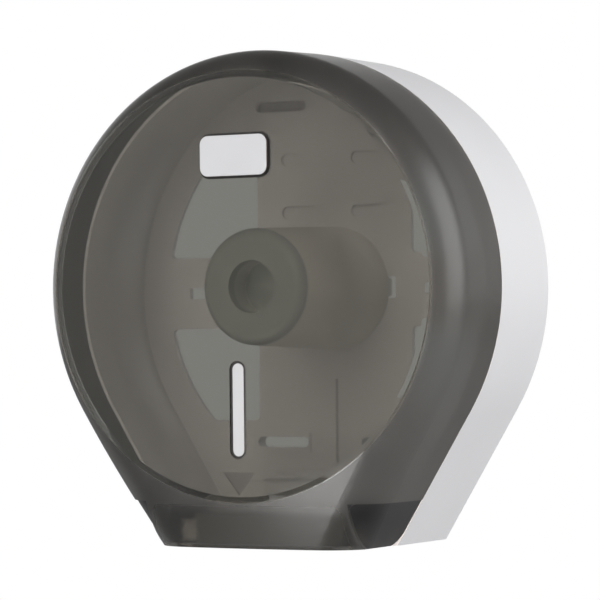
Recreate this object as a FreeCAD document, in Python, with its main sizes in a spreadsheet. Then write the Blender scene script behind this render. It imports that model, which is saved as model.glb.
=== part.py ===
import FreeCAD, Part
import math
import os
import Sketcher
from FreeCAD import Placement, Rotation, Vector

# Jumbo toilet roll dispenser, in millimetres.
# Frame: X to the right, the front faces -Y, Z up. The wall is the plane Y = 0 and
# the origin lies on it, on the axis of the roll hub.

doc = FreeCAD.newDocument("RollDispenser")
sheet = doc.addObject("Spreadsheet::Sheet", "Sizes")

drivingSizes = [
    # outline shared by the housing and the cover
    ("outlineRadius", 135, "radius of the round outline about the hub axis"),
    ("footDrop", 12.2, "how far the flat bottom lies below the round outline's lowest point"),
    ("taperAngle", 31.75, "angle of the two straight sides from upright, degrees"),
    ("wallThick", 2.6, "moulded wall of housing and cover"),
    # rear housing
    ("housingDepth", 60.9, "from the wall to the front rim of the housing"),
    ("plateFront", 7.5, "from the wall to the front of the back plate"),
    ("plateThick", 3, "thickness of the back plate"),
    ("rearRim", 6, "width of the rim that touches the wall"),
    ("ribWidth", 3, "width of the ribs behind the plate"),
    ("crossRibReach", 30, "half length of the level rib behind the plate"),
    ("windowInner", 51.5, "from the middle to the straight edge of a large window"),
    ("windowMargin", 20.5, "from the outline in to the curved edge of a large window"),
    ("upperWindowLow", 20, "lower edge of the upper windows"),
    ("upperWindowMargin", 60, "from the top of the outline down to the upper windows"),
    ("lowerWindowHigh", 23, "upper edge of the lower windows, below the axis"),
    ("lowerWindowMargin", 69.2, "from the flat bottom up to the lower windows"),
    ("windowCorner", 3, "corner radius of the large windows"),
    ("portMargin", 41, "from the outline in to the small side ports"),
    ("portDrop", 1.6, "side ports below the axis"),
    ("portWide", 10.5, "width of a side port"),
    ("portTall", 6.5, "height of a side port"),
    ("slotReach", 35, "from the middle to a wall slot's centre"),
    ("slotLong", 34.5, "length of a wall slot, end to end"),
    ("slotTall", 6.2, "height of a wall slot"),
    ("upperSlotMargin", 26, "from the top of the outline down to the upper wall slots"),
    ("lowerSlotMargin", 56.2, "from the flat bottom up to the lower wall slots"),
    ("slotBorder", 4, "border of a slot boss or pad around its slot"),
    ("slotRimLong", 1.2, "raised rim beside the ends of a lower slot"),
    ("slotRimTall", 2.6, "raised rim above and below a lower slot"),
    ("slotRimHigh", 1.2, "height of the raised rims on the front of the plate"),
    ("markReach", 23.5, "from the middle to a knock-out mark's centre"),
    ("markLong", 23, "length of a knock-out mark"),
    ("markTall", 7.4, "height of a knock-out mark"),
    ("markDeep", 2, "depth of a knock-out mark"),
    ("upperMarkStep", 32.2, "from the upper wall slots down to the upper marks"),
    ("lowerMarkStep", 9, "from the hub up to the lower marks"),
    ("plateRibThick", 3.4, "width of the upright rib on the front of the plate"),
    ("levelRibTall", 5.9, "height of the level rib beside the upright one"),
    ("plateRibHigh", 2.6, "how far the ribs stand out on the front of the plate"),
    ("uprightRibStep", 17.1, "from the hub down to the top of the upright rib"),
    ("uprightRibEnd", 7.3, "from the foot of the upright rib down to the level rib"),
    ("levelRibMargin", 37.3, "from the flat bottom up to the level rib"),
    ("lipLong", 16.4, "reach of the inner lip in front of the housing's rim"),
    ("lipThick", 1.8, "thickness of the inner lip"),
    ("lipGap", 0.5, "gap between the lip's front edge and the cover"),
    ("lipRoot", 6, "length of the lip's root inside the housing"),
    ("lipRise", 37.2, "ends of the lip above the flat bottom"),
    ("lipLockGap", 13, "half width of the gap in the lip for the lock"),
    # hub
    ("hubBaseRadius", 36.5, "radius of the hub at the back plate"),
    ("hubNoseRadius", 33, "radius of the hub at its nose"),
    ("hubNoseStep", 16.6, "from the hub's nose to the cover's front face"),
    ("hubRounding", 6, "rounding of the hub's front edge"),
    ("hubWall", 2.2, "moulded wall of the hub"),
    ("hubHoleRadius", 15, "radius of the blind hole in the nose"),
    ("hubHoleDeep", 18.5, "depth of the blind hole"),
    ("snapInset", 3.5, "near edge of a snap window, inside the hub's radius"),
    ("snapOutset", 4.5, "far edge of a snap window, outside the hub's radius"),
    ("snapTall", 12.5, "height of a snap window"),
    ("snapPlay", 0.6, "play of a snap hook's shank in its window"),
    ("snapThick", 2.4, "thickness of a snap hook"),
    ("snapBarb", 1.8, "overhang of a snap hook's barb"),
    ("snapBarbDeep", 2.1, "depth of a snap hook's barb"),
    # cover
    ("rimGap", 0.3, "gap between the housing and the cover"),
    ("coverDeep", 60.4, "depth of the cover from its rim to its flat front face"),
    ("draftAngle", 2, "draft of the cover's sides, degrees"),
    ("shoulder", 26, "rounding between the cover's sides and its front"),
    ("slopeAngle", 17.7, "how far the front falls away outside the disc, degrees"),
    ("slopeStart", 21, "from the disc's edge in to where the slope begins, under the disc"),
    ("discMargin", 14, "from the outline in to the edge of the raised disc"),
    ("discProud", 1, "height of the disc above the front face"),
    ("recessRear", 0.3, "depth of the lower corner recesses at the cover's rim"),
    ("recessFront", 1.8, "how far a recess lies behind the sloping front"),
    ("recessDraft", 3, "draft of the recessed corners, degrees"),
    ("recessStep", 2.5, "upright edge of a recess, inside the bottom corner of the outline"),
    ("recessRise", 26.2, "top of the recesses above the flat bottom"),
    ("recessCorner", 5, "corner radius of a recess"),
    ("coverFloorDeep", 17.6, "depth of the cover's floor behind its front face"),
    ("blockSwingGap", 3, "from the hinge blocks to the cover's floor in front of them"),
    ("frameSwingGap", 16.5, "from the tear frame to the cover's floor in front of it"),
    ("arrowHalf", 10, "half width of the moulded arrow"),
    ("arrowRise", 43.1, "top of the arrow above the flat bottom"),
    ("arrowTall", 12.5, "height of the arrow"),
    ("arrowDeep", 0.6, "depth of the arrow"),
    # badge and inlay
    ("badgeLong", 43, "width of the badge plate"),
    ("badgeTall", 22.8, "height of the badge plate"),
    ("badgeStep", 47.8, "from the top of the disc down to the badge's centre"),
    ("badgeCorner", 5, "corner radius of the badge"),
    ("inlayLong", 52, "length of the upright inlay"),
    ("inlayWide", 7.2, "width of the inlay"),
    ("inlayStep", 51.9, "from the foot of the disc up to the inlay's centre"),
    ("pocketDeep", 1.6, "depth of the pockets for badge and inlay"),
    ("pocketGap", 1.4, "gap around badge and inlay in their pockets"),
    ("badgeProud", 2.4, "height of the badge above the disc"),
    ("inlaySunk", 0.8, "depth of the inlay's face below the disc"),
    ("insertRounding", 0.4, "rounding of the front edges of badge and inlay"),
    # hinge
    ("pivotRadius", 9, "rounding of the cover's lower rear corners about the hinge"),
    ("blockMargin", 5.9, "from the bottom corner of the outline in to a hinge block"),
    ("blockWide", 8.8, "width of a hinge block"),
    ("blockTall", 21.2, "top of a hinge block above the flat bottom"),
    ("blockNose", 9.8, "reach of a hinge block in front of the hinge axis"),
    ("bufferSide", 0.8, "a rubber buffer inside each side of its hinge block"),
    ("bufferTall", 8.4, "height of a rubber buffer"),
    ("bufferReach", 26, "reach of a buffer in front of the hinge axis"),
    ("pinRadius", 2.5, "radius of a hinge pin"),
    ("pinPlay", 0.05, "radial play of the cover on the pins"),
    ("pinOut", 5.2, "reach of a pin out of its block"),
    ("bossRadius", 6, "radius of a hinge boss on the cover"),
    ("bossGap", 0.5, "gap between a hinge block and a boss"),
    # paper exit and tear frame
    ("floorMargin", 3, "from a hinge block in to the opening in the housing's floor"),
    ("exitMargin", 3.5, "from a hinge block in to the cover's opening and the tear frame"),
    ("frameTall", 18, "height of the tear frame"),
    ("frameFootGap", 0.2, "tips of the teeth above the flat bottom"),
    ("frameToothZone", 4, "from the tips of the teeth up to the foot of the rear bar"),
    ("frameLean", 4, "how far the side bars lean in from top to foot"),
    ("frameThick", 2.5, "thickness of the frame's bars"),
    ("toothPitch", 4, "pitch of the teeth"),
    ("toothDeep", 2.4, "depth of the teeth"),
    ("frameBossStep", 21, "from the side of the frame in to a screw boss"),
    ("frameBossRadius", 3.6, "radius of a screw boss"),
    ("frameBossDeep", 12, "length of a screw boss"),
    # screws
    ("screwRadius", 1.6, "shank radius of the self-tapping screws"),
    ("screwHeadRadius", 3, "head radius of the self-tapping screws"),
    ("screwHeadHigh", 1.9, "head height of the self-tapping screws"),
    ("screwLong", 13, "length of the self-tapping screws under the head"),
    ("screwCrossWide", 0.8, "width of the cross recess"),
    ("screwCrossDeep", 1, "depth of the cross recess"),
    # lock
    ("lockStep", 14.8, "from the cover's rim to the lock's axis"),
    ("lockSunk", 1, "top of the lock below the top of the outline"),
    ("sleeveFlangeRadius", 7.8, "radius of the sleeve's flange"),
    ("sleeveFlangeThick", 1.1, "thickness of the sleeve's flange"),
    ("sleeveRadius", 6.2, "outer radius of the sleeve"),
    ("sleeveLong", 9, "length of the sleeve with its flange"),
    ("barrelHeadRadius", 5.4, "radius of the barrel's head"),
    ("barrelHeadThick", 1.2, "thickness of the barrel's head"),
    ("barrelRadius", 4.5, "radius of the barrel"),
    ("barrelPlay", 0.05, "radial play of the barrel"),
    ("barrelOut", 0.5, "reach of the round part of the barrel below the sleeve"),
    ("stubWide", 5, "side of the square stub that carries the cam"),
    ("keySlotLong", 6, "length of the key slot"),
    ("keySlotWide", 1.4, "width of the key slot"),
    ("keySlotDeep", 4, "depth of the key slot"),
    ("nutAcross", 16, "nut size across its flats"),
    ("nutThick", 2.2, "thickness of the nut"),
    ("nutStep", 4, "top of the nut below the top of the outline"),
    ("camThick", 2, "thickness of the cam"),
    ("camReach", 17, "reach of the cam from the barrel's axis"),
    ("camWide", 7, "width of the cam's blade"),
    ("camHubRadius", 5, "radius of the cam around its stub"),
    ("camScrewHeadRadius", 3.6, "head radius of the cam screw"),
    ("camScrewHeadHigh", 1.4, "head height of the cam screw"),
    ("camScrewRadius", 1.25, "shank radius of the cam screw"),
    ("camScrewLong", 7, "length of the cam screw under its head"),
    # keeper
    ("keeperArmGap", 2.5, "from the tip of the cam to the keeper's arm"),
    ("keeperThick", 2, "thickness of the keeper"),
    ("keeperHookLong", 8.5, "length of the keeper's hook"),
    ("keeperHookGap", 1, "gap between the locked cam and the hook"),
    ("keeperMargin", 0.7, "the keeper below the foot of the cam"),
    ("keeperTall", 4.7, "height of the keeper"),
    ("keeperFootLong", 12.5, "length of the keeper's foot beside its arm"),
    ("keeperFootStep", 6.9, "from the housing's rim to the front of the foot"),
    ("keeperFootDeep", 16, "depth of the keeper's foot"),
    ("keeperScrewStep", 7, "from the keeper's arm to its screws"),
    ("keeperScrewLong", 4.6, "length of the keeper screws under their heads"),
    # cutting
    ("overrun", 1, "how far a cut runs past what it cuts"),
    ("sameShare", 0.01, "share of the overrun within which two places count as one"),
]


# A number together with the expression that gives it from the sheet's cells.
class Size:
    def __init__(self, text, value):
        self.text = text
        self.value = value

    def join(self, other, sign, value):
        return Size("(%s %s %s)" % (self.text, sign, as_size(other).text), value)

    def __add__(self, other):
        return self.join(other, "+", self.value + as_size(other).value)

    def __sub__(self, other):
        return self.join(other, "-", self.value - as_size(other).value)

    def __mul__(self, other):
        return self.join(other, "*", self.value * as_size(other).value)

    def __truediv__(self, other):
        return self.join(other, "/", self.value / as_size(other).value)

    def __neg__(self):
        return Size("(-%s)" % self.text, -self.value)


def as_size(value):
    return value if isinstance(value, Size) else Size(repr(value), value)


def sine(angle):
    return Size("sin(%s)" % angle.text, math.sin(math.radians(angle.value)))


def cosine(angle):
    return Size("cos(%s)" % angle.text, math.cos(math.radians(angle.value)))


def tangent(angle):
    return Size("tan(%s)" % angle.text, math.tan(math.radians(angle.value)))


def root(size):
    return Size("sqrt(%s)" % size.text, math.sqrt(size.value))


# The sheet's cells as named sizes, such as s.wallThick.
class Cells:
    pass


s = Cells()
for row, (name, value, note) in enumerate(drivingSizes, start=1):
    sheet.set("A%d" % row, note)
    sheet.set("B%d" % row, str(value))
    sheet.setAlias("B%d" % row, name)
    setattr(s, name, Size("Sizes." + name, float(value)))
doc.recompute()

zero = Size("0", 0.0)
quarterTurn = 90
halfTurn = quarterTurn * 2
fullTurn = quarterTurn * 4
nutSides = 6
exported = []

# Places that follow from the sizes above, each counted from the wall, from the
# middle, or up and down from the hub axis
s.bottomDrop = s.outlineRadius + s.footDrop
s.footReach = (s.outlineRadius - s.bottomDrop * sine(s.taperAngle)) / cosine(s.taperAngle)
s.windowRadius = s.outlineRadius - s.windowMargin
s.upperWindowHigh = s.outlineRadius - s.upperWindowMargin
s.lowerWindowLow = s.bottomDrop - s.lowerWindowMargin
s.portReach = s.outlineRadius - s.portMargin
s.upperSlotRise = s.outlineRadius - s.upperSlotMargin
s.lowerSlotDrop = s.bottomDrop - s.lowerSlotMargin
s.upperMarkRise = s.upperSlotRise - s.upperMarkStep
s.lowerMarkRise = s.hubBaseRadius + s.lowerMarkStep
s.levelRibDrop = s.bottomDrop - s.levelRibMargin
s.uprightRibTop = s.hubBaseRadius + s.uprightRibStep
s.uprightRibFoot = s.levelRibDrop - s.uprightRibEnd
s.coverRim = s.housingDepth + s.rimGap
s.coverFace = s.coverRim + s.coverDeep
s.hubNose = s.coverFace - s.hubNoseStep
s.snapInner = s.hubBaseRadius - s.snapInset
s.snapOuter = s.hubBaseRadius + s.snapOutset
s.discRadius = s.outlineRadius - s.discMargin
s.badgeRise = s.discRadius - s.badgeStep
s.inlayDrop = s.discRadius - s.inlayStep
s.recessReach = s.footReach - s.recessStep
s.recessTop = s.bottomDrop - s.recessRise
s.arrowTop = s.bottomDrop - s.arrowRise
s.arrowTip = s.arrowTop + s.arrowTall
s.pivotFront = s.coverRim + s.pivotRadius
s.pivotDrop = s.bottomDrop - s.pivotRadius
s.lipFront = s.housingDepth + s.lipLong
s.lipOuter = s.wallThick + (s.lipFront - s.coverRim) * tangent(s.draftAngle) + s.lipGap
s.lipInner = s.lipOuter + s.lipThick
s.lipDrop = s.bottomDrop - s.lipRise
s.blockOuter = s.footReach - s.blockMargin
s.blockInner = s.blockOuter - s.blockWide
s.blockTop = s.bottomDrop - s.blockTall
s.blockFront = s.pivotFront + s.blockNose
s.noseDrop = s.pivotDrop - s.bossRadius
s.bufferFront = s.pivotFront + s.bufferReach
s.coverFloorRear = s.coverFace - s.coverFloorDeep
s.coverCornerRear = s.blockFront + s.blockSwingGap
s.floorOpening = s.blockInner - s.floorMargin
s.exitReach = s.blockInner - s.exitMargin
s.frameTopReach = s.exitReach
s.frameFootReach = s.frameTopReach - s.frameLean
s.frameToothFoot = s.bottomDrop - s.frameFootGap
s.frameTop = s.frameToothFoot - s.frameTall
s.frameBarFoot = s.frameToothFoot - s.frameToothZone
s.frameFront = s.coverFloorRear - s.frameSwingGap
s.frameBossReach = s.frameTopReach - s.frameBossStep
s.levelRibReach = s.floorOpening
s.lockFront = s.coverRim + s.lockStep
s.lockTop = s.outlineRadius - s.lockSunk
s.sleeveFoot = s.lockTop - s.sleeveLong
s.barrelFoot = s.sleeveFoot - s.barrelOut
s.nutTop = s.outlineRadius - s.nutStep
s.camFoot = s.barrelFoot - s.camThick
s.keeperLow = s.camFoot - s.keeperMargin
s.keeperHigh = s.keeperLow + s.keeperTall
s.keeperArmInner = s.camReach + s.keeperArmGap
s.keeperArmOuter = s.keeperArmInner + s.keeperThick
s.keeperHookInner = s.keeperArmInner - s.keeperHookLong
s.keeperFootInner = s.keeperArmInner - s.keeperFootLong
s.keeperFootFront = s.housingDepth - s.keeperFootStep
s.keeperFootRear = s.keeperFootFront - s.keeperFootDeep
s.keeperScrewReach = s.keeperArmInner - s.keeperScrewStep


def bind(thing, prop, size):
    thing.setExpression(prop, as_size(size).text)


# Sketches, with every point held by distances that follow the sheet


def new_body(name):
    body = doc.addObject("PartDesign::Body", name)
    body.Label = name
    return body


def new_sketch(body, plane, name, offset=zero):
    sketch = body.newObject("Sketcher::SketchObject", name)
    origin_plane = [f for f in body.Origin.OriginFeatures if f.Role == plane][0]
    sketch.AttachmentSupport = [(origin_plane, "")]
    sketch.MapMode = "FlatFace"
    bind(sketch, "AttachmentOffset.Base.z", offset)
    return sketch


def hold(sketch, kind, geometry, position, size):
    index = sketch.addConstraint(
        Sketcher.Constraint(kind, -1, 1, geometry, position, size.value))
    bind(sketch, "Constraints[%d]" % index, size)


def hold_point(sketch, geometry, position, x, y):
    hold(sketch, "DistanceX", geometry, position, x)
    hold(sketch, "DistanceY", geometry, position, y)


def hold_radius(sketch, geometry, size):
    index = sketch.addConstraint(Sketcher.Constraint("Radius", geometry, size.value))
    bind(sketch, "Constraints[%d]" % index, size)


def link(sketch, first, first_end, second, second_end):
    sketch.addConstraint(Sketcher.Constraint("Coincident", first, first_end, second, second_end))


def add_line(sketch, start, end):
    ends = [Vector(x.value, y.value, 0) for x, y in (start, end)]
    return sketch.addGeometry(Part.LineSegment(*ends))


def add_polygon(sketch, corners):
    sides = [add_line(sketch, corner, corners[(at + 1) % len(corners)])
             for at, corner in enumerate(corners)]
    for at, side in enumerate(sides):
        link(sketch, side, 2, sides[(at + 1) % len(sides)], 1)
        hold_point(sketch, side, 1, *corners[at])


def add_rectangle(sketch, left, right, low, high):
    add_polygon(sketch, [(left, low), (right, low), (right, high), (left, high)])


def add_circle(sketch, x, y, radius):
    centre = Vector(x.value, y.value, 0)
    circle = sketch.addGeometry(Part.Circle(centre, Vector(0, 0, 1), radius.value))
    hold_point(sketch, circle, 3, x, y)
    hold_radius(sketch, circle, radius)


def add_arc(sketch, x, y, radius, start, end):
    centre = Vector(x.value, y.value, 0)
    circle = Part.Circle(centre, Vector(0, 0, 1), radius.value)
    arc = sketch.addGeometry(Part.ArcOfCircle(circle, math.radians(start), math.radians(end)))
    hold_point(sketch, arc, 3, x, y)
    hold_radius(sketch, arc, radius)
    return arc


# A slot with round ends: level, or upright when asked for
def add_slot(sketch, x, y, length, width, upright=False):
    radius = width / 2
    half = (length - width) / 2
    if upright:
        first = add_arc(sketch, x, y + half, radius, 0, halfTurn)
        second = add_arc(sketch, x, y - half, radius, halfTurn, fullTurn)
        left = add_line(sketch, (x - radius, y + half), (x - radius, y - half))
        right = add_line(sketch, (x + radius, y - half), (x + radius, y + half))
    else:
        first = add_arc(sketch, x - half, y, radius, quarterTurn, quarterTurn * 3)
        second = add_arc(sketch, x + half, y, radius, quarterTurn * 3, quarterTurn * 5)
        left = add_line(sketch, (x - half, y - radius), (x + half, y - radius))
        right = add_line(sketch, (x + half, y + radius), (x - half, y + radius))
    for before, after in ((first, left), (left, second), (second, right), (right, first)):
        sketch.addConstraint(Sketcher.Constraint("Tangent", before, 2, after, 1))


# A rectangle with round corners about a centre
def add_rounded(sketch, x, y, length, width, radius):
    dx = length / 2 - radius
    dy = width / 2 - radius
    centres = ((x + dx, y + dy), (x - dx, y + dy), (x - dx, y - dy), (x + dx, y - dy))
    arcs = [add_arc(sketch, cx, cy, radius, quarterTurn * at, quarterTurn * (at + 1))
            for at, (cx, cy) in enumerate(centres)]
    sides = [add_line(sketch, (x + dx, y + dy + radius), (x - dx, y + dy + radius)),
             add_line(sketch, (x - dx - radius, y + dy), (x - dx - radius, y - dy)),
             add_line(sketch, (x - dx, y - dy - radius), (x + dx, y - dy - radius)),
             add_line(sketch, (x + dx + radius, y - dy), (x + dx + radius, y + dy))]
    for at, (arc, side) in enumerate(zip(arcs, sides)):
        sketch.addConstraint(Sketcher.Constraint("Tangent", arc, 2, side, 1))
        sketch.addConstraint(Sketcher.Constraint("Tangent", side, 2, arcs[(at + 1) % len(arcs)], 1))


# The dispenser's outline seen from the front, moved inwards by one inset all round
# and by another at its flat bottom
def add_outline(sketch, inset, foot_inset):
    radius = s.outlineRadius - inset
    bottom = -(s.bottomDrop - foot_inset)
    foot = (radius + bottom * sine(s.taperAngle)) / cosine(s.taperAngle)
    touch_x = radius * cosine(s.taperAngle)
    touch_z = -(radius * sine(s.taperAngle))
    arc = add_arc(sketch, zero, zero, radius, -s.taperAngle.value, halfTurn + s.taperAngle.value)
    left = add_line(sketch, (-touch_x, touch_z), (-foot, bottom))
    base = add_line(sketch, (-foot, bottom), (foot, bottom))
    right = add_line(sketch, (foot, bottom), (touch_x, touch_z))
    for before, after in ((arc, left), (left, base), (base, right), (right, arc)):
        link(sketch, before, 2, after, 1)
    hold(sketch, "DistanceY", arc, 1, touch_z)
    hold(sketch, "DistanceY", arc, 2, touch_z)
    hold_point(sketch, base, 1, -foot, bottom)
    hold_point(sketch, base, 2, foot, bottom)


# Features


def pad(body, sketch, length, name, back=False):
    feature = body.newObject("PartDesign::Pad", name)
    feature.Profile = sketch
    feature.Reversed = back
    bind(feature, "Length", length)
    doc.recompute()
    return feature


# A pocket in an upright sketch cuts towards the wall, or towards the front when asked for.
# It has to take something away.
def pocket(body, sketch, length, name, forward=False, both=False):
    before = body.Shape.Volume
    feature = body.newObject("PartDesign::Pocket", name)
    feature.Profile = sketch
    feature.Reversed = forward
    feature.Midplane = both
    bind(feature, "Length", length)
    doc.recompute()
    if not body.Shape.Volume < before:
        raise RuntimeError(name + " cuts nothing")
    return feature


def fillet(body, edges, radius, name):
    rounded = body.Tip
    feature = body.newObject("PartDesign::Fillet", name)
    feature.Base = (rounded, edges)
    bind(feature, "Radius", radius)
    doc.recompute()
    return feature


# Names of the edges of a body that pass a test
def edges_where(body, test):
    return ["Edge%d" % at for at, edge in enumerate(body.Shape.Edges, start=1) if test(edge)]


def near(first, second):
    return abs(first - second) < s.overrun.value * s.sameShare.value


def lies_at(edge, y):
    box = edge.BoundBox
    return near(box.YMin, y) and near(box.YMax, y)


def box(name, x_low, x_high, y_low, y_high, z_low, z_high):
    block = doc.addObject("Part::Box", name)
    bind(block, "Length", x_high - x_low)
    bind(block, "Width", y_high - y_low)
    bind(block, "Height", z_high - z_low)
    for axis, size in (("x", x_low), ("y", y_low), ("z", z_low)):
        bind(block, ".Placement.Base." + axis, size)
    return block


turns = {"X": Rotation(Vector(0, 1, 0), quarterTurn), "Y": Rotation(Vector(1, 0, 0), quarterTurn), "Z": Rotation()}


# A cylinder that starts at a point and runs along +X, -Y or +Z
def cylinder(name, axis, x, y, z, radius, length):
    rod = doc.addObject("Part::Cylinder", name)
    bind(rod, "Radius", radius)
    bind(rod, "Height", length)
    rod.Placement = Placement(Vector(0, 0, 0), turns[axis])
    for letter, size in (("x", x), ("y", y), ("z", z)):
        bind(rod, ".Placement.Base." + letter, size)
    return rod


def fuse(name, shapes):
    joined = doc.addObject("Part::MultiFuse", name)
    joined.Shapes = shapes
    joined.Refine = True
    return joined


def cut(name, base, tool):
    result = doc.addObject("Part::Cut", name)
    result.Base = base
    result.Tool = tool
    result.Refine = True
    return result


def group(name, shapes):
    result = doc.addObject("Part::Compound", name)
    result.Links = shapes
    return result


def keep(thing, name):
    thing.Label = name
    exported.append(thing)


# Rear housing


def build_housing():
    body = new_body("HousingBody")
    shell = new_sketch(body, "XZ_Plane", "HousingOutline")
    add_outline(shell, zero, zero)
    pad(body, shell, s.housingDepth, "HousingShell")

    hollow = new_sketch(body, "XZ_Plane", "HousingHollowOutline", s.plateFront)
    add_outline(hollow, s.wallThick, s.wallThick)
    pocket(body, hollow, s.housingDepth - s.plateFront + s.overrun, "HousingHollow", forward=True)

    rear = new_sketch(body, "XZ_Plane", "RearHollowOutline")
    add_outline(rear, s.rearRim, s.rearRim)
    pocket(body, rear, s.plateFront - s.plateThick, "RearHollow", forward=True)

    # ribs and slot bosses behind the plate, flush with the rim
    ribs = new_sketch(body, "XZ_Plane", "RearRibOutline")
    half = s.ribWidth / 2
    add_rectangle(ribs, -half, half, -(s.bottomDrop - s.rearRim / 2), s.outlineRadius - s.rearRim / 2)
    pad(body, ribs, s.plateFront - s.plateThick, "RearUprightRib")
    cross = new_sketch(body, "XZ_Plane", "RearCrossRibOutline")
    add_rectangle(cross, -s.crossRibReach, s.crossRibReach, -half, half)
    pad(body, cross, s.plateFront - s.plateThick, "RearCrossRib")
    bosses = new_sketch(body, "XZ_Plane", "SlotBossOutline")
    for x in (-s.slotReach, s.slotReach):
        add_slot(bosses, x, -s.lowerSlotDrop, s.slotLong + s.slotBorder * 2, s.slotTall + s.slotBorder * 2)
    pad(body, bosses, s.plateFront - s.plateThick, "SlotBosses")

    rims = new_sketch(body, "XZ_Plane", "SlotRimOutline", s.plateFront)
    half_long = s.slotLong / 2 + s.slotRimLong
    half_tall = s.slotTall / 2 + s.slotRimTall
    for x in (-s.slotReach, s.slotReach):
        add_rectangle(rims, x - half_long, x + half_long, -s.lowerSlotDrop - half_tall, -s.lowerSlotDrop + half_tall)
    pad(body, rims, s.slotRimHigh, "SlotRims")

    slots = new_sketch(body, "XZ_Plane", "WallSlotOutline", -s.overrun)
    for x in (-s.slotReach, s.slotReach):
        for z in (s.upperSlotRise, -s.lowerSlotDrop):
            add_slot(slots, x, z, s.slotLong, s.slotTall)
    pocket(body, slots, s.plateFront + s.slotRimHigh + s.overrun * 2, "WallSlots", forward=True)

    windows = new_sketch(body, "XZ_Plane", "WindowOutline", -s.overrun)
    for low, high in ((s.upperWindowLow, s.upperWindowHigh), (-s.lowerWindowLow, -s.lowerWindowHigh)):
        low_x = root(s.windowRadius * s.windowRadius - low * low)
        high_x = root(s.windowRadius * s.windowRadius - high * high)
        low_angle = math.degrees(math.atan2(low.value, low_x.value))
        high_angle = math.degrees(math.atan2(high.value, high_x.value))
        arc = add_arc(windows, zero, zero, s.windowRadius, low_angle, high_angle)
        top = add_line(windows, (high_x, high), (s.windowInner, high))
        side = add_line(windows, (s.windowInner, high), (s.windowInner, low))
        base = add_line(windows, (s.windowInner, low), (low_x, low))
        for before, after in ((arc, top), (top, side), (side, base), (base, arc)):
            link(windows, before, 2, after, 1)
        hold(windows, "DistanceY", arc, 1, low)
        hold(windows, "DistanceY", arc, 2, high)
        hold_point(windows, side, 1, s.windowInner, high)
        hold_point(windows, side, 2, s.windowInner, low)
    pocket(body, windows, s.plateFront + s.overrun * 2, "RightWindows", forward=True)
    upright = edges_where(body, is_window_corner)
    fillet(body, upright, s.windowCorner, "WindowCorners")

    mirrored = body.newObject("PartDesign::Mirrored", "LeftWindows")
    mirrored.Originals = [doc.getObject("RightWindows")]
    yz_plane = [f for f in body.Origin.OriginFeatures if f.Role == "YZ_Plane"][0]
    mirrored.MirrorPlane = (yz_plane, [""])
    body.Tip = mirrored
    doc.recompute()
    left_corners = edges_where(body, lambda edge: is_window_corner(edge, -1))
    fillet(body, left_corners, s.windowCorner, "LeftWindowCorners")

    # side ports and the windows that the hub snaps into
    ports = new_sketch(body, "XZ_Plane", "PortOutline", -s.overrun)
    half_wide = s.portWide / 2
    half_tall = s.portTall / 2
    half_snap = s.snapTall / 2
    for x in (-s.portReach, s.portReach):
        add_rectangle(ports, x - half_wide, x + half_wide, -s.portDrop - half_tall, -s.portDrop + half_tall)
    add_rectangle(ports, s.snapInner, s.snapOuter, -half_snap, half_snap)
    add_rectangle(ports, -s.snapOuter, -s.snapInner, -half_snap, half_snap)
    pocket(body, ports, s.plateFront + s.overrun * 2, "PortsAndSnapWindows", forward=True)

    marks = new_sketch(body, "XZ_Plane", "MarkOutline", s.plateFront)
    for x in (-s.markReach, s.markReach):
        for z in (s.upperMarkRise, s.lowerMarkRise):
            add_slot(marks, x, z, s.markLong, s.markTall)
    pocket(body, marks, s.markDeep, "KnockOutMarks")

    upright_rib = new_sketch(body, "XZ_Plane", "UprightRibOutline", s.plateFront)
    thick = s.plateRibThick / 2
    add_rectangle(upright_rib, -thick, thick, -s.uprightRibFoot, -s.uprightRibTop)
    pad(body, upright_rib, s.plateRibHigh, "UprightRib")
    level_rib = new_sketch(body, "XZ_Plane", "LevelRibOutline", s.plateFront)
    half_level = s.levelRibTall / 2
    add_rectangle(level_rib, -s.levelRibReach, thick, -s.levelRibDrop - half_level, -s.levelRibDrop + half_level)
    pad(body, level_rib, s.plateRibHigh, "LevelRib")

    # opening in the floor for the paper
    floor = new_sketch(body, "XY_Plane", "FloorOpeningOutline", -s.bottomDrop - s.overrun)
    add_rectangle(floor, -s.floorOpening, s.floorOpening, -s.housingDepth - s.overrun, -s.plateFront)
    pocket(body, floor, s.wallThick + s.overrun * 2, "FloorOpening", forward=True)

    # boss under the top wall for the lock keeper
    keeper_boss = new_sketch(body, "XY_Plane", "KeeperBossOutline", s.keeperHigh)
    add_rectangle(keeper_boss, s.keeperFootInner, s.keeperArmOuter,
                  -s.keeperFootFront, -s.keeperFootRear)
    pad(body, keeper_boss, keeper_boss_height(), "KeeperBoss")

    # pilot holes
    holes = new_sketch(body, "XZ_Plane", "PilotHoleOutline", -s.overrun)
    for x, z in rear_screw_places():
        add_circle(holes, x, z, s.screwRadius)
    pocket(body, holes, s.plateFront + s.overrun * 2, "RearPilotHoles", forward=True)
    keeper_holes = new_sketch(body, "XY_Plane", "KeeperHoleOutline", s.keeperHigh - s.overrun)
    for y in keeper_screw_places():
        add_circle(keeper_holes, s.keeperScrewReach, y, s.screwRadius)
    pocket(body, keeper_holes, s.keeperScrewLong - s.keeperThick + s.overrun, "KeeperPilotHoles", forward=True)
    keep(fuse("HousingWithLip", [body, build_lip()]), "rear_housing")


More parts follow.
